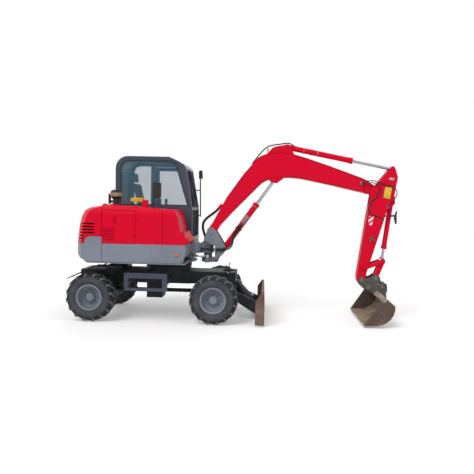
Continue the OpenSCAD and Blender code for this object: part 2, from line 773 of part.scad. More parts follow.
module upper_frame() {
  color(slate) m() difference() {
    union() {
      intersection() {
        cylinder(r = tail_r - 106, h = floor_z + floor_t, $fn = 96);
        box(-tail_r, 400, -half + 8, half - 8, floor_z, floor_z + floor_t);
      }
      translate([-swing_back, -swing_y, floor_z]) cylinder(d = 40 - 2 * pin_gap, h = swing_z + 36 - floor_z);
      slab([[250, 1025], [400, 1025], [440, 1145], [king_x, 1145], [king_x, 1275], [440, 1275],
        [390, 1325], [250, 1325]],
        -100, 100);
      translate([0, 0, 1150]) linear_extrude(height = skirt_top - seam - 1150) polygon([[340,
        -swing_y - 90], [king_x - 205, -swing_y - 90],
        [king_x - 118, -150], [king_x - 118, 36], [king_x - 165, 60], [king_x - 165, 120],
        [king_x - 215, 150], [340, 150]]);
      translate([0, 0, floor_z]) linear_extrude(height = floor_t) polygon([[340, -swing_y - 90],
        [king_x - 220, -swing_y - 90],
        [king_x - 204, -swing_y], [king_x - 204, 100], [king_x - 220, 150], [340, 150]]);
      for (z = [-14, 14]) coupling(swing_pair(z), true, 30, 60);
      translate([king_x, 0, 1145]) cylinder(d = 200, h = 130);
      for (y = [cab_right + 40, cab_left - 140], x = [-900, 250]) box(x, x + 100, y, y + 100, floor_z,
        skirt_top + 13);
      box(-960, -930, -half + 110, cab_right - seam - panel_t, floor_z, 1850);
      box(-100, -70, -half + 110, -300, floor_z, 1850);
    }
    translate([king_x, 0, 900]) cylinder(d = king_d + 2 * pin_gap, h = 600);
  }
}

module skirt_panels() {
  right = [[hood_seam_x + seam, skirt_bottom], [320, skirt_bottom], [365, skirt_bottom + 22],
    [412, skirt_bottom + 211],
    [400, skirt_top], [hood_seam_x + seam, skirt_top]];
  color(slate) m() difference() {
    union() {
      slab(right, -half, half);
      both_sides() slab([[236, 1150], [292, 1150], [300, 1163], [292, 1176], [236, 1176],
        [228, 1163]], half - 1, half + 14);
    }
    box(-tail_r, 380, -half + panel_t, half - panel_t, 900, skirt_top + 1);
    box(300, 450, -290, 160, 900, skirt_top + 1);
  }
}

module body_cover() {
  color(red) m() {
    difference() {
      shell_part(hood_seam_x + 1, front_seam_x - seam / 2, cab_right, cover_bottom, 2100);
      box(hood_seam_x, door_seam_x, -half - 1, -half + panel_t + 40, cover_bottom - 10, side_door_top);
    }
    box(-368, -282, -730, -640, 1940, 2078);
    translate([-206, -600, 1922]) cylinder(d = 60, h = 28);
    translate(cleaner_at) translate([0, 0, 1965]) cylinder(d = 150, h = cleaner_z - 1965);
    for (z = hood_hinge_y) rotate([90, 0, 0]) leaf(hood_hinge, hood_top - 2, z, 1, hood_hinge_d, false);
    for (z = [1450, 1750]) leaf(side_hinge, -half, z, 1, side_hinge_d, false);
  }
}

module front_cover() {
  color(red) m() shell_part(front_seam_x + seam / 2, 500, cab_right, cover_bottom, 2100);
}

module side_door() {
  color(red) m() {
    difference() {
      shell_part(hood_seam_x + seam, door_seam_x - seam, -half + panel_t + 1, cover_bottom + seam,
        side_door_top - seam);
      for (i = [0:groove_n - 1]) box(hood_seam_x + 28, hood_seam_x + 220, -half - 1, -half + 12,
        1390 + 27 * i, 1404 + 27 * i);
      box(hood_seam_x + 195, hood_seam_x + 250, -half - 1, -half + 14, 1680, 1796);
    }
    slab([[hood_seam_x + 208, 1690], [hood_seam_x + 236, 1690], [hood_seam_x + 236, 1786],
      [hood_seam_x + 208, 1786]],
      -half + 4, -half + 15);
    for (z = [1450, 1750]) leaf(side_hinge, -half, z + 42, -1, side_hinge_d, true);
  }
}

module engine() {
  color(black) m() box(220 - tail_r, hood_seam_x - 34, -420, 420, floor_z + floor_t, 1640);
}

// Cab
cab_line = concat([[-1010, skirt_top + 13], [400, skirt_top + 13], [395, 1950], [270, 2680], [225, 2735]],
  [[120, 2800], [-34, 2868], [-771, 2872]], arc([-790, 2650], 221, 90, 180, 6));
right_window = [[-909, 2003], [305, 2003], [85, 2736], [40, 2782], [-780, 2782], [-870, 2745], [-909, 2650]];
rear_window = [[cab_right + 110, 2030], [cab_left - 110, 2030], [cab_left - 110, 2620],
  [cab_right + 110, 2620]];
quarter_window = [[-909, 2003], [-560, 2003], [-560, 2760], [-780, 2760], [-870, 2735], [-909, 2650]];
door_line = [[-480, 1420], [320, 1420], [318, 1925], [190, 2650], [120, 2740], [-480, 2740]];
door_window = [[-400, 1990], [235, 1990], [120, 2640], [90, 2670], [-400, 2670]];
front_slope = atan2(125, 730);

module front_opening(d, x0, x1) {
  prism([[cab_right + 70 - d, 1440 - d], [cab_left - 70 + d, 1440 - d], [cab_left - 70 + d, 1900 + d],
    [cab_right + 70 - d, 1900 + d]], x0, x1);
}

module screen_opening(d, t0, t1) {
  translate([395, 0, 1950]) rotate([0, -front_slope, 0])
    prism([[cab_right + 70 - d, 30 - d], [cab_left - 70 + d, 30 - d], [cab_left - 70 + d, 690 + d],
      [cab_right + 70 - d, 690 + d]], t0, t1);
}

module cab_frame() {
  deep = glass_t + 2;
  color(cab_dark) m() difference() {
    slab(cab_line, cab_right, cab_left);
    slab(grow(cab_line, -cab_t), cab_right + cab_t, cab_left - cab_t);
    slab(right_window, cab_right - 1, cab_right + cab_t + 1);
    slab(grow(right_window, ledge), cab_right - 1, cab_right + deep);
    slab(quarter_window, cab_left - cab_t - 1, cab_left + 1);
    slab(grow(quarter_window, ledge), cab_left - deep, cab_left + 1);
    prism(rear_window, -1011, -950);
    prism(grow(rear_window, ledge), -1011, -1010 + deep);
    front_opening(0, 300, 420);
    front_opening(ledge, 400 - deep - 4, 420);
    screen_opening(0, -90, 40);
    screen_opening(ledge, -deep, 40);
    slab(door_line, cab_left - cab_t - 1, cab_left + 1);
  }
  color(cab_dark) m() for (z = [1560, 2440]) leaf(cab_hinge, cab_left, z, -1, cab_hinge_d, false);
}

module cab_glass() {
  fit = ledge - 1;
  deep = glass_t + 2;
  color(glass_tint) m() {
    slab(grow(right_window, fit), cab_right + deep - glass_t, cab_right + deep);
    slab(grow(quarter_window, fit), cab_left - deep, cab_left - deep + glass_t);
    prism(grow(rear_window, fit), -1010 + deep - glass_t, -1010 + deep);
    front_opening(fit, 400 - deep - 4, 400 - deep - 4 + glass_t);
    screen_opening(fit, -deep, -deep + glass_t);
  }
}

module cab_door() {
  deep = glass_t + 2;
  color(cab_dark) m() difference() {
    slab(grow(door_line, -seam), cab_left - cab_t + 5, cab_left);
    slab(door_window, cab_left - cab_t - 1, cab_left + 1);
    slab(grow(door_window, ledge), cab_left - deep, cab_left + 1);
  }
  color(cab_dark) m() for (z = [1560, 2440]) leaf(cab_hinge, cab_left, z + 42, 1, cab_hinge_d, true);
}

module door_glass() {
  deep = glass_t + 2;
  color(glass_tint) m() slab(grow(door_window, ledge - 1), cab_left - deep, cab_left - deep + glass_t);
}

module seat() {
  color(black) m() {
    box(-620, -280, 240, 580, skirt_top + 13 + cab_t, 1640);
    box(-640, -160, 170, 650, 1640, 1780);
    slab([[-640, 1780], [-540, 1780], [-700, 2420], [-790, 2400]], 190, 630);
    slab([[-760, 2380], [-710, 2380], [-732, 2600], [-800, 2590]], 290, 530);
  }
}

module controls() {
  color(black) m() {
    both_sides_of(410) {
      box(-600, -180, -370, -260, skirt_top + 13 + cab_t, 1860);
      translate([-230, -315, 1850]) cylinder(d = 36, h = 210);
    }
    box(120, 260, 340, 480, skirt_top + 13 + cab_t, skirt_top + 73 + cab_t);
    translate([190, 410, skirt_top + 33 + cab_t]) rotate([0, -20, 0]) cylinder(d = 80, h = 500);
  }
}

module both_sides_of(y) {
  translate([0, y, 0]) both_sides() children();
}

module precleaner() {
  color(black) m() translate(cleaner_at) {
    translate([0, 0, cleaner_z]) rotate_extrude($fn = 64) polygon([[0, 0], [55, 0], [55, 92], [94, 128],
      [100, 134], [102, 138],
      [102, 204], [96, 214], [88, 232], [64, 250], [30, 257], [0, 258]]);
    box(-128, -100, -34, 34, cleaner_z + 8, cleaner_z + 184);
    box(-106, -40, -14, 14, cleaner_z + 30, cleaner_z + 70);
  }
}

module mirrors() {
  color(black) m() {
    translate([-206, -600, 1950]) cylinder(d = 22, h = 280);
    slab([[-215, 2113], [-90, 2113], [-70, 2140], [-70, 2376], [-200, 2376], [-215, 2340]], -640, -606);
    translate([433, cab_left - 40, 1780]) rotate([0, -1, 0]) cylinder(d = 24, h = 760);
    translate([396.6, cab_left - 40, 1800]) rotate([0, 90, 0]) cylinder(d = 22, h = 36);
    translate([337.2, cab_left - 40, 2300]) rotate([0, 90, 0]) cylinder(d = 22, h = 86);
    slab([[396, 2530], [450, 2530], [462, 2545], [450, 2690], [412, 2690],
      [394, 2670]], cab_left - 75, cab_left + 48);
  }
}

// Swing post
ear_line = [[king_x - 67, 1382], [king_x + 112, 1280], [king_x + 140, 1280], [king_x + 140, 1008],
  [860, 1036],
  [930, 1088], [990, 1157], [1012, 1240], [1002, 1290], [950, 1372], [905, 1452], [852, 1532], [800, 1592],
  [735, 1621], [690, 1594]];

module swing_post() {
  e = ear_gap / 2;
  color(slate) m() difference() {
    union() {
      both_sides() slab(ear_line, e, e + ear_t);
      box(king_x + 140, 868, -e - 1, e + 1, 1060, 1300);
      intersection() {
        union() {
          translate([king_x, 0, 1282]) cylinder(r = 110, h = 68);
          box(king_x, 868, -e - 1, e + 1, 1282, 1350);
        }
        box(king_x - 200, 900, -e - 1, e + 1, 1200, 1400);
      }
      translate([king_x, 0, 985]) cylinder(d = 150, h = 153);
      box(king_x, 860, -75, 75, 985, 1060);
      slab([[king_x, 985], [870, 985], [900, 1070], [king_x, 1060]], -e - 1, e + 1);
      translate([king_x, 0, 985]) cylinder(r = e, h = 72);
      translate([king_x, -swing_y, 985]) cylinder(d = 90, h = 72);
      box(king_x - 45, king_x + 60, -swing_y, 0, 985, 1057);
      translate([king_x, 0, 985]) cylinder(d = king_d, h = 365);
      coupling(lift_route, true, 62, 56);
      box(hose_clamp_x - 15, hose_clamp_x + 15, -e - ear_t - 40, -e - ear_t + 1, 1180, 1250);
    }
    pin_y(boom_foot, main_pin_d + 2 * pin_gap, -300, 300);
    pin_y(boom_cyl, cyl_pin_d + 2 * pin_gap, -300, 300);
  }
}

module swing_barrel() {
  p = [-swing_back, 0];
  q = [king_x, 0];
  color(red) m() translate([0, -swing_y, swing_z]) rotate([90, 0, 0])
    tube(p, q, swing_tube_d, swing_rod_d, swing_tube_l, 60, 40);
}

module swing_rod() {
  p = [-swing_back, 0];
  q = [king_x, 0];
  color(chrome) m() translate([0, -swing_y, swing_z]) rotate([90, 0, 0])
    rod(p, q, swing_rod_d, 560, 56, 40);
}

// Boom
boom_top_line = [[3547, 2490], [3402, 2545], [2835, 2745], [2422, 2880], [2104, boom_back_z],
  [1980, 2984], [1835, 2967], [1680, 2930], [1567, 2872], [1318, 2579],
  [1021, 2160], [715, 1590]];
boom_low_line = [[846, 1578], [1139, 1906], [1641, 2425], [1765, 2490], [1910, 2518],
  [2130, 2528], [2321, 2516], [2844, 2414], [3390, 2295], [3540, 2263]];
boom_line = concat(boom_low_line, boom_top_line);

module boom() {
  w = ear_gap / 2 - move_gap;
  n = arm_w / 2 - fork_t - move_gap;
  s = boom_tube_d / 2 + 13;
  color(red) m() difference() {
    union() {
      difference() {
        slab(boom_line, -w, w);
        slab(grow(boom_line, -25), -w + 25, w - 25);
        slab([[1130, 1800], [2000, 2400], [2000, 2600], [1640, 2560], [1130, 2000]], -s, s);
        box(boom_tip_x - 225, boom_tip_x + 200, n, 300, 2100, 2600);
        box(boom_tip_x - 225, boom_tip_x + 200, -300, -n, 2100, 2600);
      }
      slab([[boom_foot_x - 60, 1560], [boom_foot_x + 74, 1500], [900, 1640], [740, 1660]], -w, w);
      pin_y(boom_foot, 150, -w, w);
      pin_y(boom_tip, 150, -n, n);
      slab([[boom_tip_x - 250, 2300], [boom_tip_x - 160, 2262], [boom_tip_x + 10, 2250],
        [boom_tip_x + 20, 2390],
        [boom_tip_x - 160, 2490], [boom_tip_x - 250, 2500]], -n, n);
      both_sides() {
        slab([[boom_lug_x - 130, 2500], [boom_lug_x - 55, boom_lug_z - 55],
          [boom_lug_x + 40, boom_lug_z - 62],
          [boom_lug_x + 170, 2530]], s, w);
        pin_y(boom_lug, cyl_pin_d + 20, w - 2, w + 8);
        slab([[arm_cyl_x - 346, boom_back_z - 40], [arm_cyl_x + 130, boom_back_z - 40],
          [arm_cyl_x + 52, arm_cyl_z + 10], [arm_cyl_x + 36, arm_cyl_z + 36],
          [arm_cyl_x, arm_cyl_z + 46], [arm_cyl_x - 86, arm_cyl_z + 27], [arm_cyl_x - 200, arm_cyl_z + 5],
          [arm_cyl_x - 262, arm_cyl_z - 17], [arm_cyl_x - 323, arm_cyl_z - 88]], 50, 84);
      }
      box(arm_cyl_x - 356, arm_cyl_x - 334, -86, -40, boom_back_z - 40, arm_cyl_z - 30);
      coupling(lift_route, false, 62, 90);
      coupling(top_route, true, 30, 80);
      coupling(dump_route, true, 24, 40);
      coupling(curl_route, true, 24, 40);
    }
    pin_y(boom_foot, main_pin_d, -300, 300);
    pin_y(boom_tip, main_pin_d, -300, 300);
    pin_y(arm_cyl, cyl_pin_d + 2 * pin_gap, -300, 300);
  }
  color(slate) m() {
    pin_y(boom_foot, main_pin_d - 2 * pin_gap, -ear_gap / 2 - ear_t, ear_gap / 2 + ear_t);
    pin_y(boom_tip, main_pin_d - 2 * pin_gap, -arm_w / 2, arm_w / 2);
  }
}

// Hoses, drawn whole along their routes at rest
module lift_hose() {
  color(black) m() hose(lift_route, 46);
}

module swing_hoses() {
  color(black) m() for (z = [-14, 14]) hose(swing_pair(z), 24, 8);
}

module cylinder_hoses() {
  color(black) m() for (s = [-14, 14]) hose(cylinder_pair(s), 24, 8);
}

module top_hose() {
  color(black) m() hose(top_route, 22, 8);
}

module arm_hoses() {
  color(black) m() {
    hose(dump_route, 16, 8);
    hose(curl_route, 16, 8);
  }
}

module boom_barrel() {
  color(red) m() {
    tube(boom_cyl, boom_lug, boom_tube_d, boom_rod_d, boom_tube_l, 90, cyl_pin_d);
    for (s = [-14, 14]) {
      coupling(cylinder_pair(s), false, 30, 60);
      bar(boom_cyl + s * pipe_side, boom_lug + s * pipe_side, 24, 350, boom_tube_l - 280,
        -boom_tube_d / 2 - 9);
    }
    for (a = [450, boom_tube_l - 310]) band(boom_cyl, boom_lug, boom_tube_d, a);
    pin_y(boom_cyl, cyl_pin_d - 2 * pin_gap, -ear_gap / 2 - ear_t, ear_gap / 2 + ear_t);
  }
}

module boom_rod() {
  color(chrome) m() rod(boom_cyl, boom_lug, boom_rod_d, 960, boom_tube_d + 14, cyl_pin_d);
}

module arm_barrel() {
  color(red) m() {
    tube(arm_cyl, apex, arm_tube_d, arm_rod_d, arm_tube_l, 90, cyl_pin_d);
    band(arm_cyl, apex, arm_tube_d, 420);
    coupling(top_route, false, 28, 40);
    pin_y(arm_cyl, cyl_pin_d - 2 * pin_gap, -84, 84);
  }
}

module arm_rod() {
  color(chrome) m() rod(arm_cyl, apex, arm_rod_d, 1100, 84, cyl_pin_d);
}

// Arm
arm_line = [[3461, 648], [3505, 665], [3530, 710], [3548, 860], [3635, 1157], [3880, 2000], [3960, 2050],
  [4008, 2100],
  [3991, 2254], [4042, 2562], [3996, 2712], [3976, 2748], [3942, 2760], [3914, 2738], [3675, 2425],
  [3600, 2385],
  [3560, 2320], [3579, 2247], [3528, 1912], [3376, 800], [3386, 700], [3418, 662]];

module arm() {
  w = arm_w / 2;
  n = w - fork_t;
  color(red) m() difference() {
    union() {
      slab(arm_line, -w, w);
      both_sides() pin_y(apex, cyl_pin_d + 10, w - 2, w + 8);
      slab([[3830, 1860], [3870, 1860], [4020, 1868], [4044, 1900], [4044, 1972], [4030, 1972],
        [4006, 1898], [3850, 1892]], -w, -w + 14);
      slab([[4012, 1905], [3994, 1840], [4020, 1736], [4040, 1745], [4034, 1880]], -w - 30, -w + 14);
      coupling(dump_route, false, 26, 26);
      coupling(curl_route, false, 26, 30);
    }
    slab([[boom_tip_x - 300, 2030], [boom_tip_x + 20, 2090], [boom_tip_x + 160, 2200],
      [boom_tip_x + 190, 2380], [boom_tip_x + 170, 2520],
      [boom_tip_x + 80, 2700], [boom_tip_x - 300, 2700]], -n, n);
    pin_y(apex, 160, -50, 50);
    slab([[3690, 2560], [3880, 2610], [4070, 2660], [4070, 2800], [3690, 2800]], -50, 50);
    pin_y(stick_cyl, 140, -50, 50);
    slab([[3850, 1850], [3866, 2000], [3876, 2160], [4100, 2160], [4100, 1850]], -50, 50);
    pin_y(boom_tip, main_pin_d + 2 * pin_gap, -300, 300);
    pin_y(stick_cyl, cyl_pin_d + 2 * pin_gap, -300, 300);
    pin_y(rocker_pin, cyl_pin_d + 2 * pin_gap, -300, 300);
    pin_y(arm_tip, cyl_pin_d + 2 * pin_gap, -300, 300);
  }
}

module bucket_barrel() {
  color(red) m() {
    tube(stick_cyl, elbow, bucket_tube_d, bucket_rod_d, bucket_tube_l, 90, cyl_pin_d);
    pin_y(stick_cyl, cyl_pin_d - 2 * pin_gap, -arm_w / 2, arm_w / 2);
  }
}

module bucket_rod() {
  color(chrome) m() rod(stick_cyl, elbow, bucket_rod_d, 800, 84, cyl_pin_d);
}

module strap(p, q, d, y0, y1) {
  a = lean(p, q);
  pin_y(p, d, y0, y1);
  pin_y(q, d, y0, y1);
  n = [-sin(a), cos(a)] * d * 0.42;
  slab([p - n, q - n, q + n, p + n], y0, y1);
}

module rocker() {
  y0 = arm_w / 2 + move_gap;
  color(red) m() {
    both_sides() difference() {
      strap(rocker_pin, elbow, 84, y0, y0 + 22);
      pin_y(elbow, cyl_pin_d, y0 - 1, 300);
    }
    pin_y(rocker_pin, cyl_pin_d - 2 * pin_gap, -y0 - 10, y0 + 10);
  }
}

module bucket_link() {
  y1 = arm_w / 2;
  color(rust) m() difference() {
    union() {
      both_sides() strap(elbow, link_pin, 96, y1 - 44, y1);
      c = (elbow + link_pin) / 2;
      pin_y(c, 60, -y1 + 10, y1 - 10);
      pin_y(elbow, cyl_pin_d - 2 * pin_gap, y1 - 5, y1 + 28);
      pin_y(elbow, cyl_pin_d - 2 * pin_gap, -y1 - 28, -y1 + 5);
    }
    pin_y(link_pin, cyl_pin_d, -300, 300);
  }
}

// Coupler and bucket
coupler_line = [[3575, 530], [3800, 545], [3908, 512], [3914, 600], [3900, 673], [3800, 700], [3776, 790],
  [3730, 826],
  [3680, 826], [3640, 790], [3540, 756], [3484, 765], [3440, 765], [3402, 742], [3396, 690], [3453, 617],
  [3520, 555]];
bucket_pin_a = [3575, 594];
bucket_pin_b = [3815, 618];

module coupler() {
  y0 = arm_w / 2 + move_gap;
  color(rust) m() {
    difference() {
      both_sides() slab(coupler_line, y0, y0 + 28);
      pin_y(link_pin, cyl_pin_d + 2 * pin_gap, -300, 300);
    }
    pin_y(arm_tip, cyl_pin_d - 2 * pin_gap, -y0 - 10, y0 + 10);
    box(3600, 3790, -y0 - 1, y0 + 1, 560, 600);
  }
}

bucket_line = [[3407, 42], [3541, 42], [3640, 48], [3720, 66], [3790, 104], [3850, 160], [3892, 225],
  [3915, 300],
  [3919, 379], [3736, 539]];

module bucket() {
  h = bucket_w / 2;
  e = arm_w / 2 + move_gap + 28;
  inner = grow(bucket_line, -bucket_t);
  n = [-0.835, 0.55] * 60;
  cut = concat([inner[0] + n], [for (i = [0:len(inner) - 1]) inner[i]], [inner[len(inner) - 1] + n]);
  color(rust) m() {
    difference() {
      slab(bucket_line, -h, h);
      slab(cut, -h + bucket_side_t, h - bucket_side_t);
    }
    pin_y([3728, 492], 92, -h + 10, h - 10);
    both_sides() {
      slab([[3407, 42], [3500, 42], [3512, 76], [3724, 497], [3748, 529], [3736, 539]], h - 1, h + 10);
      slab([[3690, 480], [3905, 392], [3878, 600], [3850, 660], [3790, 665], [3610, 640], [3540, 630],
        [3520, 580], [3560, 545]],
        e + 1, e + 31);
      pin_y(bucket_pin_a, 60, e, e + 40);
      pin_y(bucket_pin_b, 60, e, e + 40);
    }
  }
}

chassis_frame();
slew_ring();
turntable();
rear_axle();
front_axle();
drive_line();
side_steps();
rear_mudguards();
lashing_eyes();
knuckle_left();
knuckle_right();
tie_rod();
tyre_front_left();
rim_front_left();
tyre_front_right();
rim_front_right();
tyre_rear_left();
rim_rear_left();
tyre_rear_right();
rim_rear_right();
moldboard();
blade_arms();
blade_barrel();
blade_rod();
upper_frame();
counterweight();
skirt_panels();
body_cover();
front_cover();
engine();
cab_frame();
cab_glass();
seat();
controls();
precleaner();
mirrors();
engine_hood();
side_door();
cab_door();
door_glass();
swing_barrel();
swing_rod();
swing_post();
boom();
boom_barrel();
boom_rod();
arm_barrel();
arm_rod();
arm();
bucket_barrel();
bucket_rod();
rocker();
bucket_link();
coupler();
bucket();
lift_hose();
swing_hoses();
cylinder_hoses();
top_hose();
arm_hoses();
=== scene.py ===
import math

import bpy
from mathutils import Matrix, Vector


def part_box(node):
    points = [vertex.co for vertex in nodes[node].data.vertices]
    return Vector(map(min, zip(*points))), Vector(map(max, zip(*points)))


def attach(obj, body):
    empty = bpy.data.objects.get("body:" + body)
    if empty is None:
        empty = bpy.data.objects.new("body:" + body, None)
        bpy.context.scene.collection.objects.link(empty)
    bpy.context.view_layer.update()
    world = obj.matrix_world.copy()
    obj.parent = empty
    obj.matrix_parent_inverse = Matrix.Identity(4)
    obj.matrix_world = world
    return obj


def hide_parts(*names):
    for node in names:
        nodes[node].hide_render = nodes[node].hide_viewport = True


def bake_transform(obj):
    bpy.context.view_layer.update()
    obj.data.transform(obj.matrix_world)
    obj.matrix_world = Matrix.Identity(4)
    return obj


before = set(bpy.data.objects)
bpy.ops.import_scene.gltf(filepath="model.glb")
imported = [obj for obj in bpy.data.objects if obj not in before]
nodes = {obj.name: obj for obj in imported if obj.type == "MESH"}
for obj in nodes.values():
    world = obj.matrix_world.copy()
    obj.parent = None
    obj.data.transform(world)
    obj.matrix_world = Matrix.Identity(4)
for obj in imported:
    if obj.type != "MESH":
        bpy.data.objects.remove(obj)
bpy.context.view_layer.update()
bpy.ops.object.select_all(action="DESELECT")
scene = bpy.context.scene
scene.view_settings.view_transform = "Standard"
print("frame loaded:", len(nodes), "nodes")

slewX = -1.2  # slew axis in the model's frame
wheelCorners = ("front_left", "front_right", "rear_left", "rear_right")


def at(x, y, z):  # millimetres forward of the slew axis, left and up
    return Vector((slewX + x / 1000, y / 1000, z / 1000))


# Camera, turned as the photographer held it
cameraSetup = {"place": (0.556, -9.974, 2.001), "yaw": -3.12, "pitch": -3.21, "roll": 1.09,
               "lens": 41.73, "sensor": 36, "farClip": 200}


def makeCamera(setup):
    yaw, pitch, roll = (math.radians(setup[k]) for k in ("yaw", "pitch", "roll"))
    ahead = Vector((math.sin(yaw) * math.cos(pitch), math.cos(yaw) * math.cos(pitch),
                    math.sin(pitch)))
    level = ahead.cross(Vector((0, 0, 1))).normalized()
    top = level.cross(ahead)
    right = level * math.cos(roll) + top * math.sin(roll)
    up = top * math.cos(roll) - level * math.sin(roll)
    bpy.ops.object.camera_add(location=setup["place"])
    camera = bpy.context.object
    camera.name = "photoCamera"
    turn = Matrix((right, up, -ahead)).transposed()
    camera.rotation_euler = turn.to_euler()
    camera.data.sensor_width = setup["sensor"]
    camera.data.lens = setup["lens"]
    camera.data.clip_end = setup["farClip"]
    scene.camera = camera


makeCamera(cameraSetup)


class Wire:  # a node socket that can stand in a sum
    def __init__(self, tree, socket=None):
        self.tree = tree
        self.socket = socket

    def add(self, kind, settings=None, sockets=None, out=0):
        made = self.tree.nodes.new(kind)
        for name, value in (settings or {}).items():
            setattr(made, name, value)
        for name, value in (sockets or {}).items():
            if isinstance(value, Wire):
                self.tree.links.new(value.socket, made.inputs[name])
            else:
                made.inputs[name].default_value = value
        return Wire(self.tree, made.outputs[out] if made.outputs else None)

    def sum(self, operation, a, b=0.0):
        return self.add("ShaderNodeMath", {"operation": operation}, {0: a, 1: b})

    def vector(self, operation, a, b=(0, 0, 0)):
        out = "Value" if operation in ("LENGTH", "DOT_PRODUCT") else 0
        return self.add("ShaderNodeVectorMath", {"operation": operation}, {0: a, 1: b}, out)

    def __add__(self, other):
        return self.sum("ADD", self, other)

    def __sub__(self, other):
        return self.sum("SUBTRACT", self, other)

    def __rsub__(self, other):
        return self.sum("SUBTRACT", other, self)

    def __mul__(self, other):
        return self.sum("MULTIPLY", self, other)

    def __truediv__(self, other):
        return self.sum("DIVIDE", self, other)


def objectPlace(w, scale=(1, 1, 1), shift=(0, 0, 0)):
    coords = w.add("ShaderNodeTexCoord", out="Object")
    return w.add("ShaderNodeMapping", {}, {"Vector": coords, "Scale": scale, "Location": shift})


def faceNormal(w):
    return w.add("ShaderNodeTexCoord", out="Normal")


def axisOf(w, axis, vector=None):
    return w.add("ShaderNodeSeparateXYZ", {}, {0: vector or objectPlace(w)}, out=axis)


def noise(w, scale, detail=3.0, rough=0.55, stretch=(1, 1, 1)):
    return w.add("ShaderNodeTexNoise", {}, {"Vector": objectPlace(w, stretch), "Scale": scale,
                                            "Detail": detail, "Roughness": rough})


def between(w, value, low, high):  # 0 below low, 1 above high
    return w.add("ShaderNodeMapRange", {"interpolation_type": "SMOOTHSTEP"},
                 {0: value, 1: low, 2: high})


def patches(w, scale, detail, low, high, rough=0.55, stretch=(1, 1, 1)):  # soft islands of noise
    return between(w, noise(w, scale, detail, rough, stretch), low, high)


def blendColour(w, factor, a, b):
    def tone(c):
        return c if isinstance(c, Wire) else (*c, 1)

    return w.add("ShaderNodeMix", {"data_type": "RGBA"},
                 {"Factor": factor, 6: tone(a), 7: tone(b)}, out=2)


def roundedNormal(w, radius):
    return w.add("ShaderNodeBevel", {"samples": 4}, {"Radius": radius})


def wornEdge(w, radius):  # 1 on an outer or inner edge, 0 on flat skin
    plain = w.add("ShaderNodeNewGeometry", out="Normal")
    flat = w.vector("DOT_PRODUCT", roundedNormal(w, radius), plain)
    return between(w, 1 - flat, 0.02, 0.22)


def newFinish(name):
    material = bpy.data.materials.new(name)
    material.use_nodes = True
    tree = material.node_tree
    tree.nodes.clear()
    shader = tree.nodes.new("ShaderNodeBsdfPrincipled")
    output = tree.nodes.new("ShaderNodeOutputMaterial")
    tree.links.new(shader.outputs[0], output.inputs[0])
    return material, Wire(tree), shader


def toOutput(w, mixed):  # takes the place of the plain shader
    output = next(n for n in w.tree.nodes if n.type == "OUTPUT_MATERIAL")
    w.tree.links.new(mixed.socket, output.inputs[0])


def feed(shader, **values):
    names = {"colour": "Base Color", "rough": "Roughness", "metal": "Metallic", "alpha": "Alpha",
             "normal": "Normal", "gloss": "Specular IOR Level"}
    tree = shader.id_data
    for key, value in values.items():
        socket = shader.inputs[names[key]]
        if isinstance(value, Wire):
            tree.links.new(value.socket, socket)
        else:
            socket.default_value = (*value, 1) if key == "colour" else value


def bump(w, height, strength, distance, normal=None):
    sockets = {"Height": height, "Strength": strength, "Distance": distance}
    if normal:
        sockets["Normal"] = normal
    return w.add("ShaderNodeBump", {}, sockets)


paintLooks = {
    "redPaint": {"colour": (0.68, 0.002, 0.024), "faded": (0.62, 0.004, 0.030),
                 "dust": (0.46, 0.10, 0.09), "dirt": 0.16,
                 "rough": 0.40, "gloss": 0.07, "chips": 0.0, "round": 0.009},
    "weldRed": {"colour": (0.44, 0.001, 0.014), "faded": (0.38, 0.002, 0.016),
                "dust": (0.30, 0.06, 0.05), "dirt": 0.2,
                "rough": 0.45, "gloss": 0.10, "chips": 0.0, "round": 0.002},
    "slatePaint": {"colour": (0.205, 0.235, 0.285), "faded": (0.175, 0.195, 0.225),
                   "dust": (0.26, 0.24, 0.21), "dirt": 0.35,
                   "rough": 0.5, "gloss": 0.3, "chips": 0.15, "round": 0.012},
    "cabPaint": {"colour": (0.040, 0.050, 0.080), "faded": (0.054, 0.064, 0.092),
                 "dust": (0.18, 0.17, 0.16), "dirt": 0.15,
                 "rough": 0.38, "gloss": 0.3, "chips": 0.0, "round": 0.022},
    # blackPaint's blue-grey dust colour lies mostly on faces turned up: it is dust and also painted
    # sky sheen on the tops
    "blackPaint": {"colour": (0.010, 0.012, 0.016), "faded": (0.022, 0.025, 0.033),
                   "dust": (0.092, 0.095, 0.110), "dirt": 0.30,
                   "rough": 0.55, "gloss": 0.2, "chips": 0.3, "round": 0.007},
    "rimPaint": {"colour": (0.200, 0.238, 0.285), "faded": (0.155, 0.178, 0.208),
                 "dust": (0.21, 0.195, 0.18), "dirt": 0.36,
                 "rough": 0.55, "gloss": 0.3, "chips": 0.25, "round": 0.005},
    "enginePaint": {"colour": (0.06, 0.06, 0.062), "faded": (0.09, 0.085, 0.08),
                    "dust": (0.12, 0.10, 0.08), "dirt": 0.5,
                    "rough": 0.6, "gloss": 0.2, "chips": 0.2, "round": 0.007},
}
paintSkin = {"chipEdge": 0.006, "chipColour": (0.20, 0.13, 0.09), "grain": 240.0, "grainHigh": 0.001,
             "grainStrength": 0.05, "sheen": 9.0, "sheenShare": 0.16, "dirtRough": 0.35}
dirtForm = {"up": (0.55, 1.0), "upShare": 0.55, "height": (0.1, 1.3), "lowShare": 0.75, "gain": 1.6}


def dirtAndSheenMask(w, amount):  # mud low down, dust on what faces up; with blackPaint's blue-grey dust this also paints sky sheen on the tops
    up = between(w, axisOf(w, 2, faceNormal(w)), *dirtForm["up"])
    low = 1 - between(w, axisOf(w, 2), *dirtForm["height"])
    islands = patches(w, scale=5.0, detail=6.0, low=0.42, high=0.72, rough=0.65)
    both = up * dirtForm["upShare"] + low * dirtForm["lowShare"]
    return both * islands * amount * dirtForm["gain"]


def boxMask(w, low, high, edge=0.001):  # 1 inside the box from low to high
    place = objectPlace(w)
    inside = 1.0
    for axis in range(3):
        along = axisOf(w, axis, place)
        above = between(w, along, low[axis] - edge, low[axis])
        inside = above * (1 - between(w, along, high[axis], high[axis] + edge)) * inside
    return inside


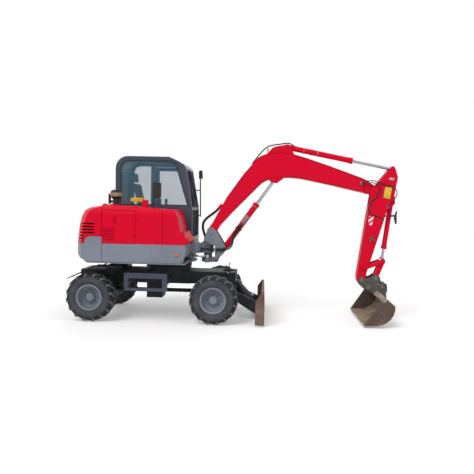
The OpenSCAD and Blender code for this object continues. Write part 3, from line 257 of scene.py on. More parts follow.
# What shares a solid with the red paint but isn't red: lamp and hose fittings
lampBlack, fittingGrey = (0.030, 0.034, 0.040), (0.20, 0.19, 0.17)
armSpots = [{"low": at(3985, -140, 1725), "high": at(4060, -80, 1985), "colour": lampBlack},
            {"low": at(3872, -104, 1850), "high": at(3985, -80, 1910), "colour": lampBlack},
            {"low": at(3770, -130, 1780), "high": at(3830, -100.8, 1850), "colour": fittingGrey},
            {"low": at(3855, -130, 2005), "high": at(3925, -100.8, 2090), "colour": fittingGrey}]
boomSpots = [{"low": at(3360, -140, 2410), "high": at(3445, -111, 2495), "colour": fittingGrey}]

# Steel pipes beside the boom cylinder's tube, known by how far they stand off its axis
pipeMarks = {"foot": (970, 1215), "head": (1878, 2493), "tubeRadius": 0.054, "from": 0.15, "to": 0.96,
             "hose": (0.020, 0.022, 0.026), "pipe": (0.30, 0.33, 0.35), "scraped": (0.62, 0.80)}


def pipeMask(w):
    foot, head = (at(x, 0, z) for x, z in (pipeMarks["foot"], pipeMarks["head"]))
    way = tuple((head - foot).normalized())
    place = objectPlace(w, shift=tuple(-foot))
    reach = w.vector("LENGTH", w.vector("CROSS_PRODUCT", place, way))
    along = w.vector("DOT_PRODUCT", place, way)
    start, end, tube = pipeMarks["from"], pipeMarks["to"], pipeMarks["tubeRadius"]
    inRange = between(w, along, start, start + 0.01) * (1 - between(w, along, end, end + 0.01))
    scraped = between(w, along + noise(w, 12.0, 4.0) * 0.2, *pipeMarks["scraped"])
    colour = blendColour(w, scraped, pipeMarks["hose"], pipeMarks["pipe"])
    return between(w, reach, tube, tube + 0.001) * inRange, colour


def paintFinish(name, look, spots=(), pipes=False):
    material, w, shader = newFinish(name)
    base = blendColour(w, patches(w, scale=1.6, detail=4.0, low=0.35, high=0.72),
                       look["colour"], look["faded"])
    # with blackPaint's blue-grey dust colour this mask also lays painted sky sheen on top faces
    dirt = dirtAndSheenMask(w, look["dirt"])
    base = blendColour(w, dirt, base, look["dust"])
    if look["chips"]:
        flakes = patches(w, scale=38.0, detail=4.0, low=0.46, high=0.62, rough=0.7)
        chips = wornEdge(w, paintSkin["chipEdge"]) * flakes * look["chips"]
        base = blendColour(w, chips, base, paintSkin["chipColour"])
    for spot in spots:
        base = blendColour(w, boxMask(w, spot["low"], spot["high"]), base, spot["colour"])
    if pipes:
        mask, tone = pipeMask(w)
        base = blendColour(w, mask, base, tone)
    skin = bump(w, noise(w, paintSkin["grain"], 2.0), paintSkin["grainStrength"],
                paintSkin["grainHigh"], roundedNormal(w, look["round"]))
    sheen = noise(w, paintSkin["sheen"], 4.0) * paintSkin["sheenShare"]
    rough = sheen + dirt * paintSkin["dirtRough"] + (look["rough"] - paintSkin["sheenShare"] / 2)
    feed(shader, colour=base, rough=rough, normal=skin, gloss=look["gloss"])
    return material


steelLooks = {
    "bladeSteel": {"colour": (0.16, 0.115, 0.09), "rust": (0.115, 0.062, 0.040),
                   "bright": (0.30, 0.27, 0.25), "soil": (0.25, 0.17, 0.12)},
    "bucketSteel": {"colour": (0.068, 0.052, 0.044), "rust": (0.10, 0.045, 0.026),
                    "bright": (0.25, 0.21, 0.18), "soil": (0.20, 0.125, 0.06)},
    "rustyPin": {"colour": (0.14, 0.12, 0.11), "rust": (0.16, 0.085, 0.05),
                 "bright": (0.36, 0.33, 0.30), "soil": (0.18, 0.13, 0.09)},
    "couplerSteel": {"colour": (0.060, 0.064, 0.068), "rust": (0.075, 0.060, 0.048),
                     "bright": (0.26, 0.26, 0.25), "soil": (0.11, 0.095, 0.07)},
}

# The bucket: sand inside, slate ears, a pale cross tube
bucketMarks = {"tube": (3728, 492), "tubeRadius": 0.0475, "mouth": (-0.835, 0, 0.55),
               "halfInside": 0.752, "earFoot": 0.50, "earFade": 0.05, "ear": (0.060, 0.063, 0.066),
               "sand": ((0.40, 0.28, 0.15), (0.30, 0.25, 0.20)),
               "pale": ((0.38, 0.33, 0.30), (0.24, 0.20, 0.17))}


def bucketPatches(w):
    marks = bucketMarks
    facing = w.vector("DOT_PRODUCT", faceNormal(w), marks["mouth"])
    across = w.sum("ABSOLUTE", axisOf(w, 1))
    within = 1 - between(w, across, marks["halfInside"], marks["halfInside"] + 0.004)
    heaps = patches(w, scale=2.6, detail=6.0, low=0.30, high=0.62, rough=0.6) * 0.75 + 0.2
    sand = between(w, facing, 0.10, 0.55) * within * heaps
    x, z = marks["tube"]
    place = objectPlace(w, shift=tuple(-at(x, 0, z)))
    reach = w.vector("LENGTH", w.vector("MULTIPLY", place, (1, 0, 1)))
    tube = 1 - between(w, reach, marks["tubeRadius"], marks["tubeRadius"] + 0.001)
    ears = between(w, axisOf(w, 2), marks["earFoot"], marks["earFoot"] + marks["earFade"]) * 0.8
    grain = patches(w, scale=14.0, detail=5.0, low=0.35, high=0.65, rough=0.6)
    return [(ears, marks["ear"]), (sand, blendColour(w, grain, *marks["sand"])),
            (tube, blendColour(w, grain, *marks["pale"]))]


def steelFinish(name, look, marks=None):
    material, w, shader = newFinish(name)
    rust = patches(w, scale=7.0, detail=8.0, low=0.40, high=0.62, rough=0.7)
    base = blendColour(w, rust, look["colour"], look["rust"])
    soil = patches(w, scale=3.2, detail=6.0, low=0.52, high=0.74, rough=0.6) * 0.7
    base = blendColour(w, soil, base, look["soil"])
    scrape = patches(w, scale=26.0, detail=3.0, low=0.56, high=0.72, rough=0.6,
                     stretch=(1, 0.12, 2.2)) * 0.35
    bright = wornEdge(w, 0.008) * 0.55 + scrape
    base = blendColour(w, bright, base, look["bright"])
    for patch, colour in marks(w) if marks else ():
        base = blendColour(w, patch, base, colour)
    pits = noise(w, 90.0, 5.0, 0.7)
    skin = bump(w, pits, strength=0.35, distance=0.003, normal=roundedNormal(w, 0.006))
    feed(shader, colour=base, rough=0.72 - bright * 0.22 + rust * 0.12, metal=bright * 0.4,
         normal=skin)
    return material


chromeLook = {"clean": (0.40, 0.43, 0.47), "oily": (0.26, 0.27, 0.29), "metal": 0.95, "rough": 0.16}


def chromeFinish(name, look):
    material, w, shader = newFinish(name)
    oil = patches(w, scale=6.0, detail=4.0, low=0.45, high=0.75, rough=0.6, stretch=(1, 1, 0.3))
    feed(shader, colour=blendColour(w, oil, look["clean"], look["oily"]), metal=look["metal"],
         rough=oil * look["rough"] + look["rough"], normal=roundedNormal(w, 0.004))
    return material


# Tyre rubber: painted shade darkens the gaps between the lugs, and the lugs are lighter with painted
# light and soil. The lugs are what stands proud of the carcass
rubberLook = {
    "ribs": 620.0, "ribsFrom": (0.23, 0.25), "ribsTo": (0.29, 0.31), "sideHalf": 0.150,
    "shoulderFrom": 0.31, "shoulderWide": 0.08, "shoulderDrop": 0.040, "proud": (0.001, 0.006),
    "crown": (0.389, 0.396), "lugFrom": (0.322, 0.335), "gapFrom": (0.318, 0.362),
    # gap is painted shade between the lugs; lug is painted light on the lugs, mixed below with real
    # soil
    "clean": (0.046, 0.052, 0.064), "dusty": (0.096, 0.100, 0.110), "paintedGapShade": (0.011, 0.012, 0.014),
    "lug": (0.098, 0.103, 0.114), "soil": (0.170, 0.162, 0.148), "rough": 0.66, "gloss": 0.2}


def rubberFinish(name, look, wheelCentre):
    material, w, shader = newFinish(name)
    place = objectPlace(w, shift=tuple(-c for c in wheelCentre))
    radius = w.vector("LENGTH", w.vector("MULTIPLY", place, (1, 0, 1)))
    ribs = w.sum("SINE", radius * look["ribs"]) * between(w, radius, *look["ribsFrom"])
    ribs = ribs * (1 - between(w, radius, *look["ribsTo"]))
    dust = patches(w, scale=6.0, detail=6.0, low=0.38, high=0.70, rough=0.65) * 0.55
    shoulder = w.sum("MAXIMUM", radius - look["shoulderFrom"], 0.0) / look["shoulderWide"]
    carcass = look["sideHalf"] - shoulder * shoulder * shoulder * look["shoulderDrop"]
    proud = between(w, w.sum("ABSOLUTE", axisOf(w, 1, place)) - carcass, *look["proud"])
    lug = w.sum("MAXIMUM", proud, between(w, radius, *look["crown"]))
    lug = lug * between(w, radius, *look["lugFrom"])
    # where the painted shade between the lugs goes
    paintedGapShade = between(w, radius, *look["gapFrom"]) * (1 - lug)
    soil = patches(w, scale=22.0, detail=5.0, low=0.45, high=0.65, rough=0.65)
    base = blendColour(w, dust, look["clean"], look["dusty"])
    # painted shade in the gaps, then lighter painted light on the lugs, blended with real soil
    base = blendColour(w, paintedGapShade * 0.85, base, look["paintedGapShade"])
    base = blendColour(w, lug * 0.75, base, blendColour(w, soil, look["lug"], look["soil"]))
    skin = bump(w, ribs * 0.4 + noise(w, 130.0, 4.0) * 0.5, strength=0.35, distance=0.003,
                normal=roundedNormal(w, 0.010))
    feed(shader, colour=base, rough=dust * 0.2 + look["rough"], normal=skin, gloss=look["gloss"])
    return material


# dark is a painted dark reflection on the front panes, with streak as painted highlight streaks on it
paneLook = {"clear": (0.13, 0.27, 0.37), "dark": (0.030, 0.038, 0.052), "paintedGlint": (0.45, 0.52, 0.58),
            "alpha": 0.21, "paintedReflectionAlpha": 0.80, "gloss": 0.12, "hazy": 1.2}


def glassFinish(name, look):  # tinted side panes; front panes dark as a painted reflection, with painted highlight streaks
    material, w, side = newFinish(name)
    smear = patches(w, scale=4.0, detail=5.0, low=0.45, high=0.8, rough=0.6, stretch=(1, 1, 0.5))
    # faces turned forward get the painted reflection
    ahead = between(w, axisOf(w, 0, faceNormal(w)), 0.5, 0.9)
    # painted highlight streaks on the front panes
    paintedGlint = patches(w, scale=7.0, detail=5.0, low=0.48, high=0.62, rough=0.6, stretch=(1, 1, 0.25))
    tint = blendColour(w, smear, look["clear"], tuple(c * look["hazy"] for c in look["clear"]))
    feed(side, colour=tint, rough=smear * 0.10 + 0.04, alpha=smear * 0.05 + look["alpha"],
         gloss=look["gloss"])
    # front panes: an opaque painted dark reflection without gloss
    front = w.tree.nodes.new("ShaderNodeBsdfPrincipled")
    feed(front, colour=blendColour(w, paintedGlint * 0.25, look["dark"], look["paintedGlint"]),
         rough=smear * 0.10 + 0.15, alpha=smear * 0.05 + look["paintedReflectionAlpha"], gloss=0.0)
    toOutput(w, w.add("ShaderNodeMixShader", {}, {0: ahead, 1: Wire(w.tree, side.outputs[0]),
                                                  2: Wire(w.tree, front.outputs[0])}))
    return material


plasticLooks = {
    "blackPlastic": {"colour": (0.016, 0.017, 0.019), "worn": (0.035, 0.035, 0.036), "rough": 0.5},
    "hoseRubber": {"colour": (0.010, 0.010, 0.011), "worn": (0.022, 0.021, 0.020), "rough": 0.42},
    "tanBand": {"colour": (0.36, 0.27, 0.17), "worn": (0.24, 0.18, 0.12), "rough": 0.55},
    "yellowLabel": {"colour": (0.72, 0.52, 0.02), "worn": (0.58, 0.43, 0.06), "rough": 0.45},
    "orangeLens": {"colour": (0.80, 0.13, 0.02), "worn": (0.60, 0.10, 0.02), "rough": 0.25},
    "oldBrass": {"colour": (0.15, 0.125, 0.075), "worn": (0.085, 0.080, 0.062), "rough": 0.5},
    "silverPlate": {"colour": (0.46, 0.47, 0.48), "worn": (0.33, 0.33, 0.34), "rough": 0.3},
    # mirror glass: a pale colour without metal, a painted reflection of bright surroundings
    "paintedMirrorReflection": {"colour": (0.75, 0.78, 0.80), "worn": (0.66, 0.69, 0.71), "rough": 0.08},
}


def plasticFinish(name, look):
    material, w, shader = newFinish(name)
    patch = patches(w, scale=11.0, detail=5.0, low=0.42, high=0.70)
    skin = bump(w, noise(w, 420.0, 2.0), strength=0.18, distance=0.0006,
                normal=roundedNormal(w, 0.003))
    feed(shader, colour=blendColour(w, patch, look["colour"], look["worn"]),
         rough=patch * 0.15 + look["rough"], normal=skin, gloss=0.25)
    return material


stripeLook = {"white": (0.80, 0.80, 0.84), "red": (0.60, 0.01, 0.03), "worn": (0.35, 0.30, 0.29),
              "pitch": 0.085, "slope": 0.75, "share": 0.45, "edge": 0.03, "end": (0.96, 0.99)}


def stripeFinish(name, look):  # red and white bars that rise to the front
    material, w, shader = newFinish(name)
    across = (axisOf(w, 2) - axisOf(w, 0) * look["slope"]) / look["pitch"]
    bar = w.sum("FRACT", across)
    red = between(w, bar, look["share"], look["share"] + look["edge"])
    red = red * (1 - between(w, bar, *look["end"]))
    worn = patches(w, scale=30.0, detail=4.0, low=0.5, high=0.8)
    base = blendColour(w, red, look["white"], look["red"])
    feed(shader, colour=blendColour(w, worn * 0.3, base, look["worn"]), rough=worn * 0.2 + 0.4)
    return material


fabricLook = {"dark": (0.020, 0.021, 0.024), "worn": (0.040, 0.041, 0.045),
              "thread": (0.06, 0.06, 0.065), "threads": 190.0, "rough": 0.85}


def fabricFinish(name, look):
    material, w, shader = newFinish(name)
    threads = w.add("ShaderNodeTexWave", {"wave_type": "BANDS", "bands_direction": "DIAGONAL"},
                    {"Vector": objectPlace(w), "Scale": look["threads"], "Distortion": 1.5,
                     "Detail": 2.0})
    patch = patches(w, scale=9.0, detail=5.0, low=0.4, high=0.7)
    base = blendColour(w, patch, look["dark"], look["worn"])
    feed(shader, colour=blendColour(w, threads * 0.35, base, look["thread"]), rough=look["rough"],
         normal=bump(w, threads, strength=0.3, distance=0.0015))
    return material


redLook = paintLooks["redPaint"]
finishes = {name: paintFinish(name, look) for name, look in paintLooks.items()}
finishes["armPaint"] = paintFinish("armPaint", redLook, armSpots)
finishes["barrelPaint"] = paintFinish("barrelPaint", redLook, pipes=True)
finishes["boomPaint"] = paintFinish("boomPaint", redLook, boomSpots)
for steelName, steelLook in steelLooks.items():
    steelMarks = bucketPatches if steelName == "bucketSteel" else None
    finishes[steelName] = steelFinish(steelName, steelLook, steelMarks)
finishes.update({name: plasticFinish(name, look) for name, look in plasticLooks.items()})
finishes["chrome"] = chromeFinish("chrome", chromeLook)
finishes["stripeLabel"] = stripeFinish("stripeLabel", stripeLook)
finishes["glassWithPaintedReflection"] = glassFinish("glassWithPaintedReflection", paneLook)
finishes["seatCloth"] = fabricFinish("seatCloth", fabricLook)

# Which finish each CAD node wears
nodeFinish = {
    "redPaint": ["body_cover", "front_cover", "engine_hood", "side_door", "arm_barrel",
                 "bucket_barrel", "rocker", "bucket_link"],
    "barrelPaint": ["boom_barrel"],
    "armPaint": ["arm"],
    "boomPaint": ["boom"],
    "slatePaint": ["upper_frame", "counterweight", "skirt_panels", "swing_post", "swing_barrel"],
    "cabPaint": ["cab_frame", "cab_door", "side_steps", "blade_barrel"],
    "blackPaint": ["chassis_frame", "slew_ring", "turntable", "rear_axle", "front_axle", "drive_line",
                   "rear_mudguards", "lashing_eyes", "knuckle_left", "knuckle_right", "tie_rod",
                   "blade_arms"],
    "rimPaint": ["rim_" + corner for corner in wheelCorners],
    "enginePaint": ["engine"],
    "bladeSteel": ["moldboard"],
    "bucketSteel": ["bucket"],
    "couplerSteel": ["coupler"],
    "chrome": ["blade_rod", "swing_rod", "boom_rod", "arm_rod", "bucket_rod"],
    "glassWithPaintedReflection": ["cab_glass", "door_glass"],
    "seatCloth": ["seat"],
    "blackPlastic": ["controls", "precleaner", "mirrors"],
    "hoseRubber": ["lift_hose", "swing_hoses", "cylinder_hoses", "top_hose", "arm_hoses"],
}


def wear(piece, material):
    piece.data.materials.clear()
    piece.data.materials.append(material)


for finishName, names in nodeFinish.items():
    for nodeName in names:
        wear(nodes[nodeName], finishes[finishName])
for corner in wheelCorners:
    low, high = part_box("tyre_" + corner)
    rubber = rubberFinish("rubber_" + corner, rubberLook, (low + high) / 2)
    wear(nodes["tyre_" + corner], rubber)
print("finishes given")


# Tools that the modelled pieces share
def active(piece):
    bpy.ops.object.select_all(action="DESELECT")
    piece.select_set(True)
    bpy.context.view_layer.objects.active = piece


def applied(piece, kind, name, **settings):
    active(piece)
    step = piece.modifiers.new(name, kind)
    for key, value in settings.items():
        setattr(step, key, value)
    bpy.ops.object.modifier_apply(modifier=step.name)


def cleanSkin(piece):  # doubles merged, loose edges gone, faces outwards
    active(piece)
    bpy.ops.object.mode_set(mode="EDIT")
    bpy.ops.mesh.select_all(action="SELECT")
    bpy.ops.mesh.remove_doubles(threshold=0.00005)
    bpy.ops.mesh.delete_loose()
    bpy.ops.mesh.select_all(action="SELECT")
    bpy.ops.mesh.normals_make_consistent(inside=False)
    bpy.ops.object.mode_set(mode="OBJECT")


def smoothSkin(piece, angle=35):
    active(piece)
    bpy.ops.object.shade_smooth_by_angle(angle=math.radians(angle))


def soften(piece, width):  # edges broken by a small bevel
    applied(piece, "BEVEL", "softEdge", width=width, segments=2, limit_method="ANGLE")
    smoothSkin(piece)


def outlinePiece(name, points, fill="NGON"):
    bpy.ops.object.select_all(action="DESELECT")
    bpy.ops.mesh.primitive_circle_add(vertices=len(points), fill_type=fill, location=(0, 0, 0))
    piece = bpy.context.object
    piece.name = name
    piece.data.name = name
    for vertex, point in zip(piece.data.vertices, points):
        vertex.co = point
    return piece


def plate(name, points, lift, edge):  # an outline drawn out by lift
    piece = outlinePiece(name, points)
    bpy.ops.object.mode_set(mode="EDIT")
    bpy.ops.mesh.select_all(action="SELECT")
    bpy.ops.mesh.extrude_region_move(TRANSFORM_OT_translate={"value": lift})
    bpy.ops.object.mode_set(mode="OBJECT")
    cleanSkin(piece)
    soften(piece, edge)
    return piece


def turned(name, profile, centre, axis, steps=40):  # (radius, along) points swung round an axis
    axis = Vector(axis).normalized()
    out = axis.orthogonal().normalized()
    ring = [Vector(centre) + out * r + axis * a for r, a in profile]
    piece = outlinePiece(name, ring, "NOTHING")
    bpy.ops.object.mode_set(mode="EDIT")
    bpy.ops.mesh.select_all(action="SELECT")
    bpy.ops.mesh.spin(steps=steps, angle=2 * math.pi, center=centre, axis=axis)
    bpy.ops.object.mode_set(mode="OBJECT")
    cleanSkin(piece)
    smoothSkin(piece)
    return piece


def joined(name, pieces):
    active(pieces[0])
    for piece in pieces:
        piece.select_set(True)
    bpy.ops.object.join()
    whole = bpy.context.object
    whole.name = name
    whole.data.name = name
    return whole


def copied(piece, move, name="copy"):  # own mesh, moved in its points
    twin = piece.copy()
    twin.data = piece.data.copy()
    twin.name = name
    twin.data.name = name
    twin.data.transform(move)
    scene.collection.objects.link(twin)
    return twin


def fitted(piece, body, finish, replaced=()):
    wear(piece, finishes[finish])
    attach(piece, body)
    if replaced:
        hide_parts(*replaced)


def smoothRoute(points, steps=6):  # a rounded line through given points
    ends = [points[0] * 2 - points[1]] + points + [points[-1] * 2 - points[-2]]
    line = []
    for a, b, c, d in zip(ends, ends[1:], ends[2:], ends[3:]):
        for i in range(steps):
            t = i / steps
            square = (a * 2 - b * 5 + c * 4 - d) * t**2
            cube = (b * 3 - a - c * 3 + d) * t**3
            line.append((b * 2 + (c - a) * t + square + cube) / 2)
    return line + [points[-1]]


def tubeAlong(name, line, thick, closed=False):
    curve = bpy.data.curves.new(name, "CURVE")
    curve.dimensions = "3D"
    spline = curve.splines.new("POLY")
    spline.points.add(len(line) - 1)
    for point, place in zip(spline.points, line):
        point.co = (*place, 1)
    spline.use_cyclic_u = closed
    curve.bevel_depth = thick / 2
    curve.bevel_resolution = 4
    curve.use_fill_caps = True
    piece = bpy.data.objects.new(name, curve)
    scene.collection.objects.link(piece)
    active(piece)
    bpy.ops.object.convert(target="MESH")
    piece = bpy.context.object
    cleanSkin(piece)
    smoothSkin(piece, 50)
    return piece


# Hydraulic hoses on the routes of their solids, millimetres from the slew axis. The two hoses
# of a pair lie that far to either side of the route, at the angle turn gives for each point
hoseRoutes = {
    "liftHose": {"node": "lift_hose", "thick": 46, "bends": ("post", "boom"), "route": [
        (640, -55, 1400), (636, -55, 1440), (608, -55, 1530), (592, -55, 1610), (602, -55, 1690),
        (650, -55, 1762), (716, -55, 1818), (780, -55, 1866), (836, -55, 1914), (880, -55, 1960)]},
    "swingHose": {"node": "swing_hoses", "thick": 24, "bends": ("upper", "post"), "pair": 14,
                  "turn": [90] * 5, "route": [
        (571, -200, 1215), (630, -204, 1222), (690, -202, 1222), (750, -192, 1218),
        (812, -182, 1216)]},
    "cylinderHose": {"node": "cylinder_hoses", "thick": 24, "bends": ("post", "boom_barrel"),
                     "pair": 14, "turn": [90, 90, 90, 100, 115, 130, 140, 145, 145], "route": [
        (846, -180, 1215), (910, -182, 1215), (975, -180, 1218), (1040, -172, 1232),
        (1095, -156, 1264), (1126, -130, 1316), (1136, -100, 1376), (1144, -78, 1434),
        (1163, -70, 1482)]},
    "topHose": {"node": "top_hose", "thick": 22, "bends": ("boom", "arm_barrel"), "route": [
        (1512, -60, 2826), (1545, -60, 2872), (1590, -60, 2930), (1640, -62, 2988),
        (1690, -64, 3036), (1740, -66, 3073), (1795, -67, 3094), (1850, -67, 3104),
        (1905, -67, 3112), (1960, -67, 3120), (2015, -67, 3130), (2070, -66, 3138),
        (2120, -60, 3134), (2158, -50, 3120), (2186, -40, 3102)]},
    "dumpHose": {"node": "arm_hoses", "thick": 16, "bends": ("boom", "arm"), "route": [
        (3420, -117, 2436), (3470, -117, 2440), (3520, -117, 2452), (3570, -117, 2460),
        (3620, -116, 2456), (3666, -114, 2440), (3706, -112, 2412), (3734, -112, 2372),
        (3744, -112, 2326), (3732, -112, 2280), (3704, -112, 2236), (3670, -112, 2196),
        (3630, -112, 2160), (3590, -112, 2118), (3560, -112, 2072), (3543, -112, 2020),
        (3545, -112, 1970), (3570, -112, 1922), (3615, -112, 1892), (3668, -112, 1876),
        (3720, -112, 1864), (3766, -112, 1846), (3800, -112, 1812)]},
    "curlHose": {"node": "arm_hoses", "thick": 16, "bends": ("boom", "arm"), "route": [
        (3420, -117, 2468), (3475, -117, 2474), (3530, -117, 2490), (3585, -116, 2496),
        (3640, -114, 2490), (3690, -112, 2472), (3745, -112, 2450), (3800, -112, 2436),
        (3856, -112, 2424), (3912, -112, 2408), (3965, -112, 2386), (4006, -112, 2352),
        (4028, -112, 2306), (4028, -112, 2256), (4008, -112, 2208), (3978, -112, 2164),
        (3946, -112, 2122), (3916, -112, 2080), (3888, -112, 2037)]},
}


def makeHose(name, setup, shift=0):
    route = [at(*p) for p in setup["route"]]
    if shift:
        turns = [math.radians(t) for t in setup["turn"]]
        route = [p + Vector((math.cos(t), 0, math.sin(t))) * shift / 1000
                 for p, t in zip(route, turns)]
    line = smoothRoute(route)
    thick = setup["thick"] / 1000
    hose = tubeAlong(name, line, thick)
    wear(hose, finishes["hoseRubber"])
    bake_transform(hose)
    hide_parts(setup["node"])
    length = sum((b - a).length for a, b in zip(line, line[1:]))


for hoseName, hoseSetup in hoseRoutes.items():
    if "pair" in hoseSetup:
        makeHose(hoseName + "Upper", hoseSetup, hoseSetup["pair"])
        makeHose(hoseName + "Lower", hoseSetup, -hoseSetup["pair"])
    else:
        makeHose(hoseName, hoseSetup)
print("hoses laid")

# Lugged tyres, the form of their solids with a round carcass: half is (radius, y) from the
# bead to the crown, lug is (y, radius)
tyreForm = {"lugs": 16, "lugThick": 0.042, "slant": 30, "edge": 0.006, "steps": 96, "smooth": 40,
            "half": [(0.205, 0.131), (0.232, 0.1315), (0.246, 0.139), (0.264, 0.149),
                     (0.280, 0.1525), (0.305, 0.152), (0.332, 0.148), (0.358, 0.140),
                     (0.376, 0.130), (0.386, 0.116), (0.3875, 0.060)],
            "lug": [(-0.008, 0.3575), (0.153, 0.3215), (0.167, 0.3255), (0.161, 0.3835),
                    (0.131, 0.4035), (-0.008, 0.4145)]}


def makeTyre(form):
    profile = form["half"] + [(r, -y) for r, y in reversed(form["half"])]
    carcass = turned("tyreModel", profile, (0, 0, 0), (0, 1, 0), form["steps"])
    thick = form["lugThick"]
    side = [(-thick / 2, y, r) for y, r in form["lug"]]
    lug = plate("lugModel", side, (thick, 0, 0), form["edge"])
    lug.data.transform(Matrix.Rotation(math.radians(form["slant"]), 4, "Z"))
    step = 2 * math.pi / form["lugs"]
    mirror = Matrix.Scale(-1, 4, (0, 1, 0))
    tread = []
    for i in range(form["lugs"]):
        tread.append(copied(lug, Matrix.Rotation(step * i, 4, "Y")))
        tread.append(copied(lug, Matrix.Rotation(step * (i + 0.5), 4, "Y") @ mirror))
    bpy.data.objects.remove(lug)
    tyre = joined("tyreModel", [carcass, *tread])
    cleanSkin(tyre)
    smoothSkin(tyre, form["smooth"])
    return tyre


# Wheel nuts with washer and stud, round the hub
nutForm = {"count": 8, "ring": 0.110, "face": 0.022, "across": 0.015, "high": 0.014, "edge": 0.0012,
           "washer": 0.021, "washerHigh": 0.0035, "stud": 0.0065, "studOver": 0.009, "bevel": 0.002}


def makeNuts(form):
    face, ring, across = form["face"], form["ring"], form["across"]
    sixths = [k * math.pi / 3 for k in range(6)]
    hexagon = [(across * math.sin(a), face, ring + across * math.cos(a)) for a in sixths]
    nut = plate("nutModel", hexagon, (0, form["high"], 0), form["edge"])
    wide, thick, stud, bevel = (form[k] for k in ("washer", "washerHigh", "stud", "bevel"))
    washerProfile = [(stud, -0.001), (wide, -0.001), (wide, 0.002), (wide - bevel, thick),
                     (stud, thick)]
    washer = turned("washerModel", washerProfile, (0, face, ring), (0, 1, 0), 16)
    top = form["high"] + form["studOver"]
    studProfile = [(0, 0), (stud, 0), (stud, top - bevel), (stud - bevel, top), (0, top)]
    bolt = turned("studModel", studProfile, (0, face, ring), (0, 1, 0), 12)
    model = joined("nutModel", [nut, washer, bolt])
    step = 2 * math.pi / form["count"]
    ringOfNuts = [copied(model, Matrix.Rotation(step * i, 4, "Y")) for i in range(form["count"])]
    bpy.data.objects.remove(model)
    return joined("nutsModel", ringOfNuts)


tyreModel = makeTyre(tyreForm)
nutsModel = makeNuts(nutForm)
for corner in wheelCorners:
    low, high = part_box("tyre_" + corner)
    place = Matrix.Translation((low + high) / 2)
    if corner.endswith("right"):
        place = place @ Matrix.Scale(-1, 4, (0, 1, 0))
    for model, word in ((tyreModel, "tyre"), (nutsModel, "nuts")):
        piece = copied(model, place, word + "_" + corner + "_made")
        cleanSkin(piece)
        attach(piece, "wheel_" + corner)
        if word == "tyre":
            wear(piece, nodes["tyre_" + corner].data.materials[0])
            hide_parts("tyre_" + corner)
        else:
            wear(piece, finishes["rimPaint"])
bpy.data.objects.remove(tyreModel)
bpy.data.objects.remove(nutsModel)
print("wheels dressed")

# Blank stickers and plates on flat sides: corners (x, z) and the side's y
stickerForm = {"thick": 0.0016, "edge": 0.0005}
stripeCorners = [(3560, 1868), (3644, 1884), (3614, 1690), (3546, 1729)]
stickers = {
    "armYellowLabel": {"corners": [(3827, 2389), (3946, 2381), (3911, 2179), (3798, 2202)],
                       "y": -100, "body": "arm", "finish": "yellowLabel"},
    "armStripes": {"corners": stripeCorners, "y": -100, "body": "arm", "finish": "stripeLabel"},
    "armStripesLeft": {"corners": stripeCorners, "y": 100, "body": "arm", "finish": "stripeLabel"},
    "armPlate": {"corners": [(3896, 2558), (3980, 2547), (3973, 2508), (3889, 2516)],
                 "y": -100, "body": "arm", "finish": "silverPlate"},
    "windowLabel": {"corners": [(-730, 2046), (-497, 2046), (-497, 2119), (-730, 2119)],
                    "y": -88.2, "body": "upper", "finish": "yellowLabel"},
}


def makeSticker(name, setup):
    side = -1 if setup["y"] < 0 else 1
    base = [at(x, setup["y"], z) for x, z in setup["corners"]]
    sheet = plate(name, base, (0, side * stickerForm["thick"], 0), stickerForm["edge"])
    fitted(sheet, setup["body"], setup["finish"])


for stickerName, stickerSetup in stickers.items():
    makeSticker(stickerName, stickerSetup)

# Small covers and lenses on the upper body: low and high corner in millimetres
covers = {
    "markerRight": {"low": (226, -922, 1147), "high": (302, -906, 1179), "edge": 0.006,
                    "finish": "orangeLens"},
    "markerLeft": {"low": (226, 906, 1147), "high": (302, 922, 1179), "edge": 0.006,
                   "finish": "orangeLens"},
    # mirror glasses wear a painted reflection
    "mirrorGlassRight": {"low": (-205, -606, 2125), "high": (-80, -603, 2366), "edge": 0.001,
                         "finish": "paintedMirrorReflection"},
    "mirrorGlassLeft": {"low": (392, 835, 2545), "high": (395, 938, 2664), "edge": 0.001,
                        "finish": "paintedMirrorReflection"},
}


def makeCover(name, setup):
    (x0, y0, z0), (x1, y1, z1) = setup["low"], setup["high"]
    base = [at(x, y0, z) for x, z in ((x0, z0), (x1, z0), (x1, z1), (x0, z1))]
    cover = plate(name, base, (0, (y1 - y0) / 1000, 0), setup["edge"])
    fitted(cover, "upper", setup["finish"])


for coverName, coverSetup in covers.items():
    makeCover(coverName, coverSetup)

# Pale band under the air cleaner's cap
cleanerRing = {"centre": (-883, -500, 2130), "inner": 0.1005, "outer": 0.1045, "high": 0.064,
               "bevelOut": 0.002, "bevelUp": 0.003, "steps": 64}


def makeCleanerRing(setup):
    inner, outer, high = setup["inner"], setup["outer"], setup["high"]
    out, up = setup["bevelOut"], setup["bevelUp"]
    profile = [(inner, 0), (outer - out, 0), (outer, up), (outer, high - up), (outer - out, high),
               (inner, high)]
    band = turned("cleanerBand", profile, at(*setup["centre"]), (0, 0, 1), setup["steps"])
    fitted(band, "upper", "tanBand")


makeCleanerRing(cleanerRing)

# Rubber seals round the panes, (x, z) points at the side's y
sealThick = 0.012
seals = {
    "sealRight": {"y": -90, "body": "upper", "line": [
        (-909, 2003), (305, 2003), (85, 2736), (40, 2782), (-780, 2782), (-870, 2745), (-909, 2650)]},
    "sealQuarter": {"y": 900, "body": "upper", "line": [
        (-909, 2003), (-560, 2003), (-560, 2760), (-780, 2760), (-870, 2735), (-909, 2650)]},
    "sealDoor": {"y": 900, "body": "cab_door", "line": [
        (-400, 1990), (235, 1990), (120, 2640), (90, 2670), (-400, 2670)]},
}
for sealName, sealSetup in seals.items():
    sealLine = [at(x, sealSetup["y"], z) for x, z in sealSetup["line"]]
    seal = tubeAlong(sealName, sealLine, sealThick, True)
    fitted(seal, sealSetup["body"], "hoseRubber")

